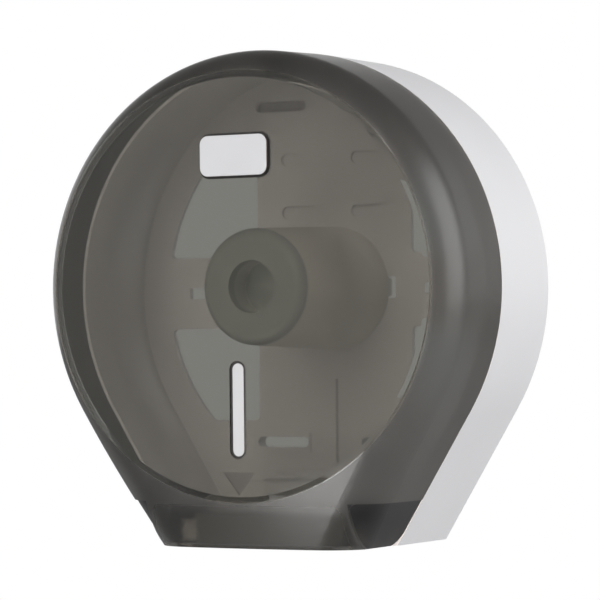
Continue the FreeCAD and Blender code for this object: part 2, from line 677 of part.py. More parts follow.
# Inner lip that the cover slides over, left out below for the hinges and above for the lock
def build_lip():
    body = new_body("LipBody")
    foot = new_sketch(body, "XZ_Plane", "LipRootOutline", s.housingDepth - s.lipRoot)
    add_outline(foot, s.wallThick / 2, s.wallThick / 2)
    add_outline(foot, s.lipInner, s.lipInner)
    pad(body, foot, s.lipRoot, "LipRoot")
    lip = new_sketch(body, "XZ_Plane", "LipOutline", s.housingDepth)
    add_outline(lip, s.lipOuter, s.lipOuter)
    add_outline(lip, s.lipInner, s.lipInner)
    pad(body, lip, s.lipLong, "Lip")
    ahead = -(s.lipFront + s.overrun)
    low = box("LipFootCut", -s.outlineRadius, s.outlineRadius, ahead, -(s.housingDepth - s.lipRoot - s.overrun),
              -(s.bottomDrop + s.overrun), -s.lipDrop)
    high = box("LipLockCut", -s.lipLockGap, s.lipLockGap, ahead, -s.housingDepth, s.keeperHigh, s.outlineRadius)
    return cut("LipPiece", body, fuse("LipCuts", [low, high]))


# True for the four short edges of each large window that run from front to back
def is_window_corner(edge, side=1):
    bounds = edge.BoundBox
    runs_back = near(bounds.XLength, 0) and near(bounds.ZLength, 0) and bounds.YLength > 0
    x = bounds.XMin * side
    z = bounds.ZMin
    levels = (s.upperWindowLow, s.upperWindowHigh, -s.lowerWindowLow, -s.lowerWindowHigh)
    on_level = any(near(z, level.value) for level in levels)
    in_reach = s.windowInner.value - s.overrun.value < x < s.windowRadius.value
    return runs_back and on_level and in_reach


# The boss reaches into the top wall, whose inner face is lowest at the boss's outer side
def keeper_boss_height():
    return s.outlineRadius - s.wallThick / 2 - s.keeperHigh - s.overrun


def rear_screw_places():
    frame_level = -(s.frameTop + s.frameBarFoot) / 2
    block_middle = (s.blockInner + s.blockOuter) / 2
    low, high = block_screw_levels()
    places = [(-s.frameBossReach, frame_level), (s.frameBossReach, frame_level)]
    places += [(side, level) for side in (-block_middle, block_middle) for level in (low, high)]
    return places


def block_screw_levels():
    hollow_foot = -(s.bottomDrop - s.rearRim)
    low = hollow_foot + s.screwHeadRadius + s.rimGap
    return low, -s.blockTop - s.screwHeadRadius - s.overrun


def keeper_screw_places():
    margin = s.screwHeadRadius + s.overrun
    return -s.keeperFootRear - margin, -s.keeperFootFront + margin


# Hub that carries the core of the roll


def build_hub():
    body = new_body("HubBody")
    profile = new_sketch(body, "XY_Plane", "HubProfile")
    inner_base = s.hubBaseRadius - s.hubWall
    inner_nose = s.hubNoseRadius - s.hubWall
    shell_end = -(s.hubNose - s.hubWall)
    cup_end = -(s.hubNose - s.hubHoleDeep)
    cup_outer = s.hubHoleRadius + s.hubWall
    corners = [(s.hubBaseRadius, -s.plateFront),
               (s.hubNoseRadius, -s.hubNose),
               (s.hubHoleRadius, -s.hubNose),
               (s.hubHoleRadius, cup_end),
               (zero, cup_end),
               (zero, cup_end + s.hubWall),
               (cup_outer, cup_end + s.hubWall),
               (cup_outer, shell_end),
               (inner_nose, shell_end),
               (inner_base, -s.plateFront)]
    add_polygon(profile, corners)
    turned = body.newObject("PartDesign::Revolution", "HubShell")
    turned.Profile = profile
    turned.ReferenceAxis = (profile, ["V_Axis"])
    turned.Angle = fullTurn
    doc.recompute()
    front = edges_where(body, lambda edge: lies_at(edge, -s.hubNose.value)
                        and edge.BoundBox.XLength > s.hubNoseRadius.value)
    fillet(body, front, s.hubRounding, "HubRounding")

    # snap hooks through the back plate
    root_y = -s.plateFront
    tip_y = -(s.plateFront - s.plateThick) + s.snapBarbDeep
    for side, mirror in (("Right", 1), ("Left", -1)):
        shank = new_sketch(body, "XZ_Plane", side + "HookOutline", s.plateFront)
        near_x = (s.snapInner + s.snapPlay) * mirror
        far_x = (s.snapInner + s.snapPlay + s.snapThick) * mirror
        half = s.snapTall / 2 - s.overrun
        add_rectangle(shank, near_x, far_x, -half, half)
        pad(body, shank, tip_y - root_y, side + "Hook", back=True)
        barb = new_sketch(body, "XZ_Plane", side + "BarbOutline", -tip_y)
        add_rectangle(barb, near_x - s.snapBarb * mirror, far_x, -half, half)
        pad(body, barb, s.snapBarbDeep - s.barrelPlay, side + "Barb")
    keep(body, "hub_core")


# Smoked cover


# A block with the cover's outer form: drafted sides, and a front that slopes away
# from the disc's edge, with a rounding between the two.
# inset moves the rim inwards, drop moves the front back.
def cover_form(name, inset, rear, drop, draft, rounding):
    body = new_body(name)
    front = s.coverFace - drop
    start = s.discRadius - s.slopeStart
    tip = front + s.slopeStart * tangent(s.slopeAngle) + s.overrun
    levels = []
    for end, level in (("Rear", rear), ("Front", tip)):
        sketch = new_sketch(body, "XZ_Plane", name + end + "Outline", level)
        add_outline(sketch, inset + (level - s.coverRim) * tangent(draft), inset)
        levels.append(sketch)
    sides = body.newObject("PartDesign::AdditiveLoft", name + "Sides")
    sides.Profile = levels[0]
    sides.Sections = [levels[1]]
    sides.Ruled = True
    doc.recompute()

    # the slope, turned about the hub axis
    far = s.outlineRadius + s.bottomDrop
    slope = new_sketch(body, "XY_Plane", name + "SlopeProfile")
    rise_start = -(front + s.slopeStart * tangent(s.slopeAngle))
    rise_far = -(front - (far - s.discRadius) * tangent(s.slopeAngle))
    clear = -(tip + s.overrun)
    add_polygon(slope, [(zero, rise_start), (start, rise_start), (far, rise_far), (far, clear), (zero, clear)])
    groove = body.newObject("PartDesign::Groove", name + "Slope")
    groove.Profile = slope
    groove.ReferenceAxis = (slope, ["V_Axis"])
    groove.Angle = fullTurn
    doc.recompute()

    edges = edges_where(body, lambda edge: is_shoulder_edge(edge, inset, front, draft))
    fillet(body, edges, rounding, name + "Shoulder")
    return body


# True for the edges where the sloping front meets the drafted sides
def is_shoulder_edge(edge, inset, front, draft):
    middle = edge.valueAt((edge.FirstParameter + edge.LastParameter) / 2)
    turn = math.radians(s.taperAngle.value)
    radius = math.hypot(middle.x, middle.z)
    along_side = abs(middle.x) * math.cos(turn) - middle.z * math.sin(turn)
    on_round = middle.z > -radius * math.sin(turn)
    reach = radius if on_round else along_side
    slope_y = -(front.value - (radius - s.discRadius.value) * math.tan(math.radians(s.slopeAngle.value)))
    side_inset = inset.value + (-middle.y - s.coverRim.value) * math.tan(math.radians(draft.value))
    return near(middle.y, slope_y) and near(s.outlineRadius.value - reach, side_inset)


# The corner zones of the cover, one each side, grown by a margin
def corner_zones(name, margin):
    body = new_body(name)
    sketch = new_sketch(body, "XZ_Plane", name + "Outline", s.housingDepth - s.overrun)
    reach = s.recessReach - margin
    top = -(s.recessTop - margin)
    low = -(s.bottomDrop + s.overrun)
    far = s.outlineRadius
    radius = s.recessCorner + margin
    for side in (1, -1):
        if side == 1:
            corner = add_arc(sketch, reach + radius, top - radius, radius, quarterTurn, halfTurn)
            before, after = 2, 1
        else:
            corner = add_arc(sketch, -(reach + radius), top - radius, radius, 0, quarterTurn)
            before, after = 1, 2
        upright = add_line(sketch, (reach * side, top - radius), (reach * side, low))
        base = add_line(sketch, (reach * side, low), (far * side, low))
        outer = add_line(sketch, (far * side, low), (far * side, top))
        level = add_line(sketch, (far * side, top), ((reach + radius) * side, top))
        sketch.addConstraint(Sketcher.Constraint("Tangent", corner, before, upright, 1))
        link(sketch, upright, 2, base, 1)
        link(sketch, base, 2, outer, 1)
        link(sketch, outer, 2, level, 1)
        sketch.addConstraint(Sketcher.Constraint("Tangent", level, 2, corner, after))
        hold_point(sketch, base, 1, reach * side, low)
        hold_point(sketch, outer, 1, far * side, low)
        hold_point(sketch, outer, 2, far * side, top)
    pad(body, sketch, s.coverDeep + s.overrun * 2, name + "Pad")
    return body


def build_cover():
    rim = s.coverRim
    far = s.outlineRadius + s.bottomDrop
    outer = cover_form("CoverOuter", zero, rim, zero, s.draftAngle, s.shoulder)

    # the flat disc, cut free of the slope inside its edge
    disc_front = s.coverFace + s.discProud
    clear = cylinder("DiscClear", "Y", zero, -disc_front, zero, s.discRadius, far)
    disc_deep = s.discProud + s.wallThick / 2
    disc = cylinder("Disc", "Y", zero, -(disc_front - disc_deep), zero, s.discRadius, disc_deep)
    front = fuse("CoverWithDisc", [cut("CoverCleared", outer, clear), disc])

    recess_form = cover_form("RecessForm", s.recessRear, rim - s.overrun, s.recessFront, s.recessDraft,
                             s.shoulder - s.recessFront)
    recess_cutter = cut("RecessCutter", corner_zones("RecessZones", zero), recess_form)

    main_form = cover_form("CavityForm", s.wallThick, rim - s.overrun, s.wallThick, s.draftAngle,
                           s.shoulder - s.wallThick)
    inner_front = disc_front - s.wallThick
    flat = cylinder("CavityFlat", "Y", zero, -inner_front, zero, s.discRadius, far)
    backing_form = cover_form("BackingForm", s.recessRear + s.wallThick, rim - s.overrun * 2,
                              s.recessFront + s.wallThick, s.recessDraft,
                              s.shoulder - s.recessFront - s.wallThick)
    backing = cut("RecessBacking", corner_zones("BackingZones", s.wallThick), backing_form)
    cavity = cut("CoverCavity", main_form, fuse("CavityLimits", [backing, flat]))

    # opening in the floor, wider beside the hinge blocks
    low = -(s.bottomDrop + s.overrun)
    high = -(s.bottomDrop - s.wallThick - s.overrun)
    rear = -(rim - s.overrun)
    exit_gap = box("ExitGap", -s.exitReach, s.exitReach, -s.coverFloorRear, rear, low, high)
    block_reach = s.blockOuter + s.bossGap
    corner_gap = box("BlockGap", -block_reach, block_reach, -s.coverCornerRear, rear, low, high)

    # lower rear corners rounded about the hinge axis
    corner_box = box("CornerBox", -s.outlineRadius, s.outlineRadius, -s.pivotFront, rear, low, -s.pivotDrop)
    corner_rod = cylinder("CornerRod", "X", -(s.outlineRadius + s.overrun), -s.pivotFront, -s.pivotDrop,
                          s.pivotRadius, (s.outlineRadius + s.overrun) * 2)
    corner_cut = cut("CornerCut", corner_box, corner_rod)

    # lock seat in the top wall
    lock_y = -s.lockFront
    seat_floor = s.lockTop - s.sleeveFlangeThick
    lock_hole = cylinder("LockHole", "Z", zero, lock_y, s.sleeveFoot, s.sleeveRadius + s.barrelPlay,
                         s.outlineRadius - s.sleeveFoot + s.overrun)
    lock_seat = cylinder("LockSeat", "Z", zero, lock_y, seat_floor, s.sleeveFlangeRadius + s.barrelPlay,
                         s.outlineRadius - seat_floor + s.overrun)

    # pockets for the badge and the inlay, and the arrow on the inner face
    details = new_body("FrontCuts")
    face = s.coverFace + s.discProud
    pockets = new_sketch(details, "XZ_Plane", "PocketOutline", face - s.pocketDeep)
    grow = s.pocketGap * 2
    add_rounded(pockets, zero, s.badgeRise, s.badgeLong + grow, s.badgeTall + grow, s.badgeCorner + s.pocketGap)
    add_slot(pockets, zero, -s.inlayDrop, s.inlayLong + grow, s.inlayWide + grow, upright=True)
    pad(details, pockets, s.pocketDeep + s.overrun, "PocketCuts")
    arrow_body = new_body("ArrowCut")
    arrow = new_sketch(arrow_body, "XZ_Plane", "ArrowOutline", face - s.wallThick - s.overrun)
    add_polygon(arrow, [(-s.arrowHalf, -s.arrowTop), (zero, -s.arrowTip), (s.arrowHalf, -s.arrowTop)])
    pad(arrow_body, arrow, s.arrowDeep + s.overrun, "ArrowPad")

    hollows = fuse("CoverHollows", [cavity, exit_gap, corner_gap, corner_cut, lock_hole, lock_seat,
                                    details, arrow_body, recess_cutter])
    shell = cut("CoverShell", front, hollows)

    # hinge bosses, trimmed by the outline of the recess wall
    boss_start = s.blockOuter + s.bossGap
    bosses = []
    bores = []
    for side, start in (("Right", boss_start), ("Left", -(boss_start + s.pivotRadius))):
        bosses.append(cylinder(side + "BossRod", "X", start, -s.pivotFront, -s.pivotDrop, s.bossRadius,
                               s.pivotRadius))
    for side, start in (("Right", s.blockOuter), ("Left", -(s.blockOuter + s.pinOut + s.rimGap))):
        bores.append(cylinder(side + "BossBore", "X", start, -s.pivotFront, -s.pivotDrop,
                              s.pinRadius + s.pinPlay, s.pinOut + s.rimGap))
    trim = cover_form("BossTrim", s.recessRear + s.wallThick / 2, s.housingDepth,
                      s.recessFront + s.wallThick / 2, s.recessDraft, s.shoulder - s.recessFront - s.wallThick)
    trimmed = doc.addObject("Part::MultiCommon", "TrimmedBosses")
    trimmed.Shapes = [group("BossRods", bosses), trim]
    joined = fuse("CoverWithBosses", [shell, trimmed])
    keep(cut("CoverPiece", joined, group("BossBores", bores)), "front_cover")


# White plates that sit in the pockets of the cover


def build_inlays():
    floor = s.coverFace + s.discProud - s.pocketDeep
    for name, label, height in (("Badge", "badge_plate", s.pocketDeep + s.badgeProud),
                                ("Inlay", "front_inlay", s.pocketDeep - s.inlaySunk)):
        body = new_body(name + "Body")
        sketch = new_sketch(body, "XZ_Plane", name + "Outline", floor)
        if name == "Badge":
            add_rounded(sketch, zero, s.badgeRise, s.badgeLong, s.badgeTall, s.badgeCorner)
        else:
            add_slot(sketch, zero, -s.inlayDrop, s.inlayLong, s.inlayWide, upright=True)
        pad(body, sketch, height, name + "Pad")
        front = edges_where(body, lambda edge: lies_at(edge, -(floor + height).value))
        fillet(body, front, s.insertRounding, name + "Rounding")
        keep(body, label)


# Hinge blocks and pins


def build_hinges():
    foot = -(s.bottomDrop - s.wallThick)
    nose = -s.blockFront
    block_middle = (s.blockInner + s.blockOuter) / 2
    pin_long = s.blockOuter - s.blockInner + s.pinOut
    for side, inner, outer, pin_start in (
            ("right", s.blockInner, s.blockOuter, s.blockInner),
            ("left", -s.blockOuter, -s.blockInner, -(s.blockOuter + s.pinOut))):
        mirror = 1 if side == "right" else -1
        name = side.capitalize()
        block = box(name + "BlockBox", inner, outer, nose, -s.plateFront, foot, -s.blockTop)
        bore = cylinder(name + "PinBore", "X", inner - s.overrun, -s.pivotFront, -s.pivotDrop, s.pinRadius,
                        s.blockOuter - s.blockInner + s.overrun * 2)
        holes = [cylinder(name + "BlockHole%d" % at, "Y", block_middle * mirror, -s.plateFront + s.overrun,
                          level, s.screwRadius, s.screwLong)
                 for at, level in enumerate(block_screw_levels())]
        # a relief above the pin lightens the block and leaves a nose about it
        relief = box(name + "Relief", inner - s.overrun, outer + s.overrun, nose - s.overrun,
                     -s.housingDepth, -s.noseDrop, -s.blockTop + s.overrun)
        keep(cut(name + "Block", block, fuse(name + "BlockCuts", [bore, relief] + holes)),
             "hinge_block_" + side)
        keep(cylinder(name + "Pin", "X", pin_start, -s.pivotFront, -s.pivotDrop, s.pinRadius, pin_long),
             "hinge_pin_" + side)


# Rubber buffers on the noses of the hinge blocks, behind the lower corners of the cover


def build_buffers():
    half = s.bufferTall / 2
    wide = s.blockWide - s.bufferSide * 2
    front = -(s.bufferFront - half)
    for side, inner in (("right", s.blockInner + s.bufferSide), ("left", -s.blockOuter + s.bufferSide)):
        name = side.capitalize()
        bar = box(name + "BufferBar", inner, inner + wide, front, -s.coverRim, -s.noseDrop,
                  -s.noseDrop + s.bufferTall)
        tip = cylinder(name + "BufferTip", "X", inner, front, -s.noseDrop + half, half, wide)
        keep(fuse(name + "Buffer", [bar, tip]), "corner_buffer_" + side)


# Self-tapping screws: a pan head with a cross recess, on a plain shank.
# Each points along -Y from a rear seat, or along +Z from a lower seat.


def screw(name, axis, x, y, z, length):
    if axis == "Y":
        head = cylinder(name + "Head", "Y", x, y + s.screwHeadHigh, z, s.screwHeadRadius, s.screwHeadHigh)
        shank = cylinder(name + "Shank", "Y", x, y, z, s.screwRadius, length)
        back = y + s.screwHeadHigh
        bars = [box(name + "BarA", x - s.screwRadius, x + s.screwRadius, back - s.screwCrossDeep,
                    back + s.overrun, z - s.screwCrossWide / 2, z + s.screwCrossWide / 2),
                box(name + "BarB", x - s.screwCrossWide / 2, x + s.screwCrossWide / 2,
                    back - s.screwCrossDeep, back + s.overrun, z - s.screwRadius, z + s.screwRadius)]
    else:
        head = cylinder(name + "Head", "Z", x, y, z - s.screwHeadHigh, s.screwHeadRadius, s.screwHeadHigh)
        shank = cylinder(name + "Shank", "Z", x, y, z, s.screwRadius, length)
        low = z - s.screwHeadHigh
        bars = [box(name + "BarA", x - s.screwRadius, x + s.screwRadius, y - s.screwCrossWide / 2,
                    y + s.screwCrossWide / 2, low - s.overrun, low + s.screwCrossDeep),
                box(name + "BarB", x - s.screwCrossWide / 2, x + s.screwCrossWide / 2, y - s.screwRadius,
                    y + s.screwRadius, low - s.overrun, low + s.screwCrossDeep)]
    return cut(name, fuse(name + "Solid", [head, shank]), fuse(name + "Cross", bars))


def build_screws():
    seat = -(s.plateFront - s.plateThick)
    places = rear_screw_places()
    frame_screws = [screw("FrameScrew%d" % at, "Y", x, seat, z, s.screwLong)
                    for at, (x, z) in enumerate(places[:2])]
    block_screws = [screw("BlockScrew%d" % at, "Y", x, seat, z, s.screwLong)
                    for at, (x, z) in enumerate(places[2:])]
    keeper_screws = [screw("KeeperScrew%d" % at, "Z", s.keeperScrewReach, y, s.keeperHigh - s.keeperThick,
                           s.keeperScrewLong)
                     for at, y in enumerate(keeper_screw_places())]
    keep(group("FrameScrews", frame_screws), "tear_frame_screws")
    keep(group("BlockScrews", block_screws), "hinge_block_screws")
    keep(group("KeeperScrews", keeper_screws), "lock_keeper_screws")


# Tear frame around the paper exit


def build_tear_frame():
    body = new_body("FrameBody")
    length = s.frameFront - s.plateFront
    lean_share = (s.frameTopReach - s.frameFootReach) / (s.frameToothFoot - s.frameTop)

    def reach_at(drop):
        return s.frameTopReach - (drop - s.frameTop) * lean_share

    # four slanted or level bars as one outline ring, then the teeth
    for side, mirror in (("Right", 1), ("Left", -1)):
        bar = new_sketch(body, "XZ_Plane", side + "BarOutline", s.plateFront)
        foot_reach = reach_at(s.frameToothFoot)
        add_polygon(bar, [(s.frameTopReach * mirror, -s.frameTop),
                          (foot_reach * mirror, -s.frameToothFoot),
                          ((foot_reach - s.frameThick) * mirror, -s.frameToothFoot),
                          ((s.frameTopReach - s.frameThick) * mirror, -s.frameTop)])
        if side == "Right":
            pad(body, bar, length, side + "Bar")
            top_reach = s.frameTopReach - s.frameThick / 2
            for end, level, drop in (("Front", s.frameFront - s.frameThick, s.frameToothFoot),
                                     ("Rear", s.plateFront, s.frameBarFoot)):
                cross = new_sketch(body, "XZ_Plane", end + "BarOutline", level)
                low_reach = reach_at(drop) - s.frameThick / 2
                add_polygon(cross, [(-top_reach, -s.frameTop), (-low_reach, -drop),
                                    (low_reach, -drop), (top_reach, -s.frameTop)])
                pad(body, cross, s.frameThick, end + "Bar")
        else:
            pad(body, bar, length, side + "Bar")
    bosses = new_sketch(body, "XZ_Plane", "FrameBossOutline", s.plateFront)
    level = -(s.frameTop + s.frameBarFoot) / 2
    for x in (-s.frameBossReach, s.frameBossReach):
        add_circle(bosses, x, level, s.frameBossRadius)
    pad(body, bosses, s.frameBossDeep, "FrameBosses")
    holes = new_sketch(body, "XZ_Plane", "FrameHoleOutline", s.plateFront - s.overrun)
    for x in (-s.frameBossReach, s.frameBossReach):
        add_circle(holes, x, level, s.screwRadius)
    pocket(body, holes, s.screwLong - s.plateThick + s.overrun, "FrameHoles", forward=True)

    notch = new_sketch(body, "YZ_Plane", "NotchOutline")
    first = -s.plateFront - s.toothPitch
    half = s.toothPitch / 2
    foot = -s.frameToothFoot
    add_polygon(notch, [(first - half, foot), (first, foot + s.toothDeep), (first + half, foot)])
    cutter = pocket(body, notch, s.frameTopReach * 2, "Notch", both=True)
    row = body.newObject("PartDesign::LinearPattern", "Notches")
    row.Originals = [cutter]
    row.Direction = (notch, ["H_Axis"])
    row.Reversed = True
    count = math.floor(length.value / s.toothPitch.value) - 2
    row.Occurrences = count
    bind(row, "Length", s.toothPitch * (count - 1))
    body.Tip = row
    doc.recompute()
    keep(body, "tear_frame")


# Rubber pads between the plate and the wall at the upper slots


def build_pads():
    depth = s.plateFront - s.plateThick
    for side, x in (("right", s.slotReach), ("left", -s.slotReach)):
        body = new_body(side.capitalize() + "PadBody")
        sketch = new_sketch(body, "XZ_Plane", side.capitalize() + "PadOutline")
        add_slot(sketch, x, s.upperSlotRise, s.slotLong + s.slotBorder * 2, s.slotTall + s.slotBorder * 2)
        add_circle(sketch, x, s.upperSlotRise, s.slotTall / 2 + s.rimGap)
        pad(body, sketch, depth, side.capitalize() + "Pad")
        keep(body, "upper_wall_pad_" + side)


# Cam lock in the top wall of the cover


def build_lock():
    y = -s.lockFront
    flange_foot = s.lockTop - s.sleeveFlangeThick
    head_foot = s.lockTop - s.barrelHeadThick
    sleeve = fuse("SleeveSolid", [
        cylinder("SleeveTube", "Z", zero, y, s.sleeveFoot, s.sleeveRadius, s.lockTop - s.sleeveFoot),
        cylinder("SleeveFlange", "Z", zero, y, flange_foot, s.sleeveFlangeRadius, s.sleeveFlangeThick)])
    sleeve_bore = fuse("SleeveBores", [
        cylinder("SleeveBore", "Z", zero, y, s.sleeveFoot - s.overrun, s.barrelRadius + s.barrelPlay,
                 s.lockTop - s.sleeveFoot + s.overrun * 2),
        cylinder("SleeveMouth", "Z", zero, y, head_foot, s.barrelHeadRadius + s.barrelPlay,
                 s.barrelHeadThick + s.overrun)])
    keep(cut("SleevePiece", sleeve, sleeve_bore), "lock_sleeve")

    nut = new_body("NutBody")
    hexagon = new_sketch(nut, "XY_Plane", "NutOutline", s.nutTop - s.nutThick)
    side_angle = as_size(fullTurn / nutSides)
    corner = s.nutAcross / 2 / cosine(side_angle / 2)
    corners = []
    for at in range(nutSides):
        angle = side_angle * at
        corners.append((corner * cosine(angle), y + corner * sine(angle)))
    add_polygon(hexagon, corners)
    add_circle(hexagon, zero, y, s.sleeveRadius)
    pad(nut, hexagon, s.nutThick, "NutPad")
    keep(nut, "lock_nut")

    # the barrel's shoulder rests on the sleeve, and its stub carries the cam
    cam_top = s.barrelFoot
    cam_foot = s.camFoot
    half = s.stubWide / 2
    barrel = fuse("BarrelSolid", [
        cylinder("BarrelRod", "Z", zero, y, s.barrelFoot, s.barrelRadius, s.lockTop - s.barrelFoot),
        cylinder("BarrelHead", "Z", zero, y, head_foot, s.barrelHeadRadius, s.barrelHeadThick),
        box("BarrelStub", -half, half, y - half, y + half, cam_foot, s.barrelFoot)])
    barrel_cuts = fuse("BarrelCuts", [
        box("KeySlot", -s.keySlotLong / 2, s.keySlotLong / 2, y - s.keySlotWide / 2,
            y + s.keySlotWide / 2, s.lockTop - s.keySlotDeep, s.lockTop + s.overrun),
        cylinder("CamScrewHole", "Z", zero, y, cam_foot - s.overrun, s.camScrewRadius,
                 s.camScrewLong + s.overrun)])
    keep(cut("BarrelPiece", barrel, barrel_cuts), "lock_barrel")

    # at rest the cam points to the rear, clear of the keeper
    blade = fuse("CamSolid", [
        cylinder("CamHub", "Z", zero, y, cam_foot, s.camHubRadius, s.camThick),
        box("CamBlade", -s.camWide / 2, s.camWide / 2, y, y + s.camReach, cam_foot, cam_top)])
    eye = box("CamEye", -half, half, y - half, y + half, cam_foot - s.overrun, cam_top + s.overrun)
    keep(cut("CamPiece", blade, eye), "lock_cam")

    screw_solid = fuse("CamScrewSolid", [
        cylinder("CamScrewHead", "Z", zero, y, cam_foot - s.camScrewHeadHigh, s.camScrewHeadRadius,
                 s.camScrewHeadHigh),
        cylinder("CamScrewShank", "Z", zero, y, cam_foot, s.camScrewRadius, s.camScrewLong)])
    driver = box("CamScrewSlot", -s.camScrewHeadRadius, s.camScrewHeadRadius, y - s.screwCrossWide / 2,
                 y + s.screwCrossWide / 2, cam_foot - s.camScrewHeadHigh - s.overrun,
                 cam_foot - s.camScrewHeadHigh / 2)
    keep(cut("CamScrewPiece", screw_solid, driver), "lock_cam_screw")


def build_keeper():
    y = -s.lockFront
    arm_outer = s.keeperArmOuter
    hook_rear = y - s.camWide / 2 - s.keeperHookGap
    hook_front = hook_rear - s.keeperThick
    arm = box("KeeperArm", s.keeperArmInner, arm_outer, hook_front, -s.keeperFootRear, s.keeperLow,
              s.keeperHigh)
    hook = box("KeeperHook", s.keeperHookInner, arm_outer, hook_front, hook_rear, s.keeperLow, s.keeperHigh)
    foot = box("KeeperFoot", s.keeperFootInner, arm_outer, -s.keeperFootFront, -s.keeperFootRear,
               s.keeperHigh - s.keeperThick, s.keeperHigh)
    holes = [cylinder("KeeperHole%d" % at, "Z", s.keeperScrewReach, place, s.keeperLow, s.screwRadius,
                      s.keeperHigh - s.keeperLow + s.overrun)
             for at, place in enumerate(keeper_screw_places())]
    keep(cut("KeeperPiece", fuse("KeeperSolid", [arm, hook, foot]), fuse("KeeperHoles", holes)),
         "lock_keeper")


build_housing()
build_hub()
build_cover()
build_inlays()
build_hinges()
build_buffers()
build_screws()
build_tear_frame()
build_pads()
build_lock()
build_keeper()
doc.recompute()

# Checks before anything is written
for thing in doc.Objects:
    if "Invalid" in thing.State or "Error" in thing.State:
        raise RuntimeError("%s is in state %s" % (thing.Name, thing.State))
for piece in exported:
    if piece.Shape.isNull() or not piece.Shape.isValid():
        raise RuntimeError(piece.Label + " has no valid shape")

os.makedirs("parts", exist_ok=True)
for piece in exported:
    piece.Shape.exportStep("parts/%s.step" % piece.Label)
    size = piece.Shape.BoundBox
    print("%-22s solids %d  volume %9.1f  X %.1f..%.1f  Y %.1f..%.1f  Z %.1f..%.1f" % (
        piece.Label, len(piece.Shape.Solids), piece.Shape.Volume, size.XMin, size.XMax,
        size.YMin, size.YMax, size.ZMin, size.ZMax))
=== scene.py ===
import math

import bmesh
import bpy
from mathutils import Matrix, Vector


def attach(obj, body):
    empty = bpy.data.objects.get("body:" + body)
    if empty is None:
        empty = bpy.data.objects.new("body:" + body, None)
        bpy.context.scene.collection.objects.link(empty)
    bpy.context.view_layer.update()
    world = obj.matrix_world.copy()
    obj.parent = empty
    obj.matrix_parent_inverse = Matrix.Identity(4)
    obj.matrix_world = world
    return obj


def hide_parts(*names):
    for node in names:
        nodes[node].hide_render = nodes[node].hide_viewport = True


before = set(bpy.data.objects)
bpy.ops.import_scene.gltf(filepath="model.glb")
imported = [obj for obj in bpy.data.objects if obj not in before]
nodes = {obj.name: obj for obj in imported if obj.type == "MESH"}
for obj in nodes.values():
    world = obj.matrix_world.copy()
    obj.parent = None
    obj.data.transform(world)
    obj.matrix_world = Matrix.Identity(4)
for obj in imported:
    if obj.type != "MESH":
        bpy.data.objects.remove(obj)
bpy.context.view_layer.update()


mm = 0.001  # a millimetre in metres


# An sRGB hex colour as linear values
def hexColor(code, alpha=1.0):
    parts = [int(code[at:at + 2], 16) / 255 for at in (0, 2, 4)]
    linear = [c / 12.92 if c <= 0.04045 else ((c + 0.055) / 1.055) ** 2.4 for c in parts]
    return (*linear, alpha)


# Adds one node: inputs, by name or place, are values or the sockets that feed them.
# In a colour mix, place 0 is the share and places 6 and 7 are the colours.
def addNode(tree, kind, inputs=None, **settings):
    node = tree.nodes.new(kind)
    for name, value in settings.items():
        setattr(node, name, value)
    for name, value in (inputs or {}).items():
        if isinstance(value, bpy.types.NodeSocket):
            tree.links.new(value, node.inputs[name])
        else:
            node.inputs[name].default_value = value
    return node


def newMaterial(name):
    material = bpy.data.materials.new(name)
    material.use_nodes = True
    material.node_tree.nodes.clear()
    return material, material.node_tree


# Moulded plastic or rubber: an even colour with slight cloudiness and the fine skin of the mould,
# whose grain is drawn coarser than the real tenth of a millimetre, so that it shows.
# Where endPlace is given, another colour lies in front of that depth, and within boreRadius; the hub and the
# inserts use this split for painted shade.
def mouldedPlastic(name, style):
    material, tree = newMaterial(name)
    place = addNode(tree, "ShaderNodeTexCoord").outputs["Object"]
    cloud = addNode(tree, "ShaderNodeTexNoise", {
        "Vector": place, "Scale": 1 / (style["cloudSize"] * mm), "Detail": 2.0}).outputs["Fac"]
    shade = addNode(tree, "ShaderNodeMix", {
        0: cloud, 6: hexColor(style["dark"]), 7: hexColor(style["light"])}, data_type="RGBA").outputs[2]
    if "endPlace" in style:
        parts = addNode(tree, "ShaderNodeSeparateXYZ", {"Vector": place})
        soft = style["endSoft"] / 2
        behind = addNode(tree, "ShaderNodeMapRange", {
            "Value": parts.outputs["Y"], "From Min": (style["endPlace"] - soft) * mm,
            "From Max": (style["endPlace"] + soft) * mm}).outputs["Result"]
        if "boreRadius" in style:
            level = addNode(tree, "ShaderNodeCombineXYZ", {"X": parts.outputs["X"], "Z": parts.outputs["Z"]})
            radius = addNode(tree, "ShaderNodeVectorMath", {0: level.outputs["Vector"]}, operation="LENGTH")
            outside = addNode(tree, "ShaderNodeMapRange", {
                "Value": radius.outputs["Value"], "From Min": style["boreRadius"] * mm,
                "From Max": (style["boreRadius"] + soft) * mm}).outputs["Result"]
            behind = addNode(tree, "ShaderNodeMath", {0: behind, 1: outside}, operation="MULTIPLY").outputs[0]
        front = addNode(tree, "ShaderNodeMix", {
            0: cloud, 6: hexColor(style["endDark"]), 7: hexColor(style["endLight"])},
            data_type="RGBA").outputs[2]
        shade = addNode(tree, "ShaderNodeMix", {0: behind, 6: front, 7: shade}, data_type="RGBA").outputs[2]
    grain = addNode(tree, "ShaderNodeTexNoise", {
        "Vector": place, "Scale": 1 / (style["grainSize"] * mm), "Detail": 3.0}).outputs["Fac"]
    gloss = addNode(tree, "ShaderNodeMapRange", {
        "Value": grain, "To Min": style["roughness"] - style["roughSpread"],
        "To Max": style["roughness"] + style["roughSpread"]}).outputs["Result"]
    bump = addNode(tree, "ShaderNodeBump", {
        "Height": grain, "Strength": style["bump"], "Distance": style["grainDeep"] * mm}).outputs["Normal"]
    shader = addNode(tree, "ShaderNodeBsdfPrincipled", {
        "Base Color": shade, "Roughness": gloss, "IOR": style["ior"], "Normal": bump}).outputs["BSDF"]
    addNode(tree, "ShaderNodeOutputMaterial", {"Surface": shader})
    return material


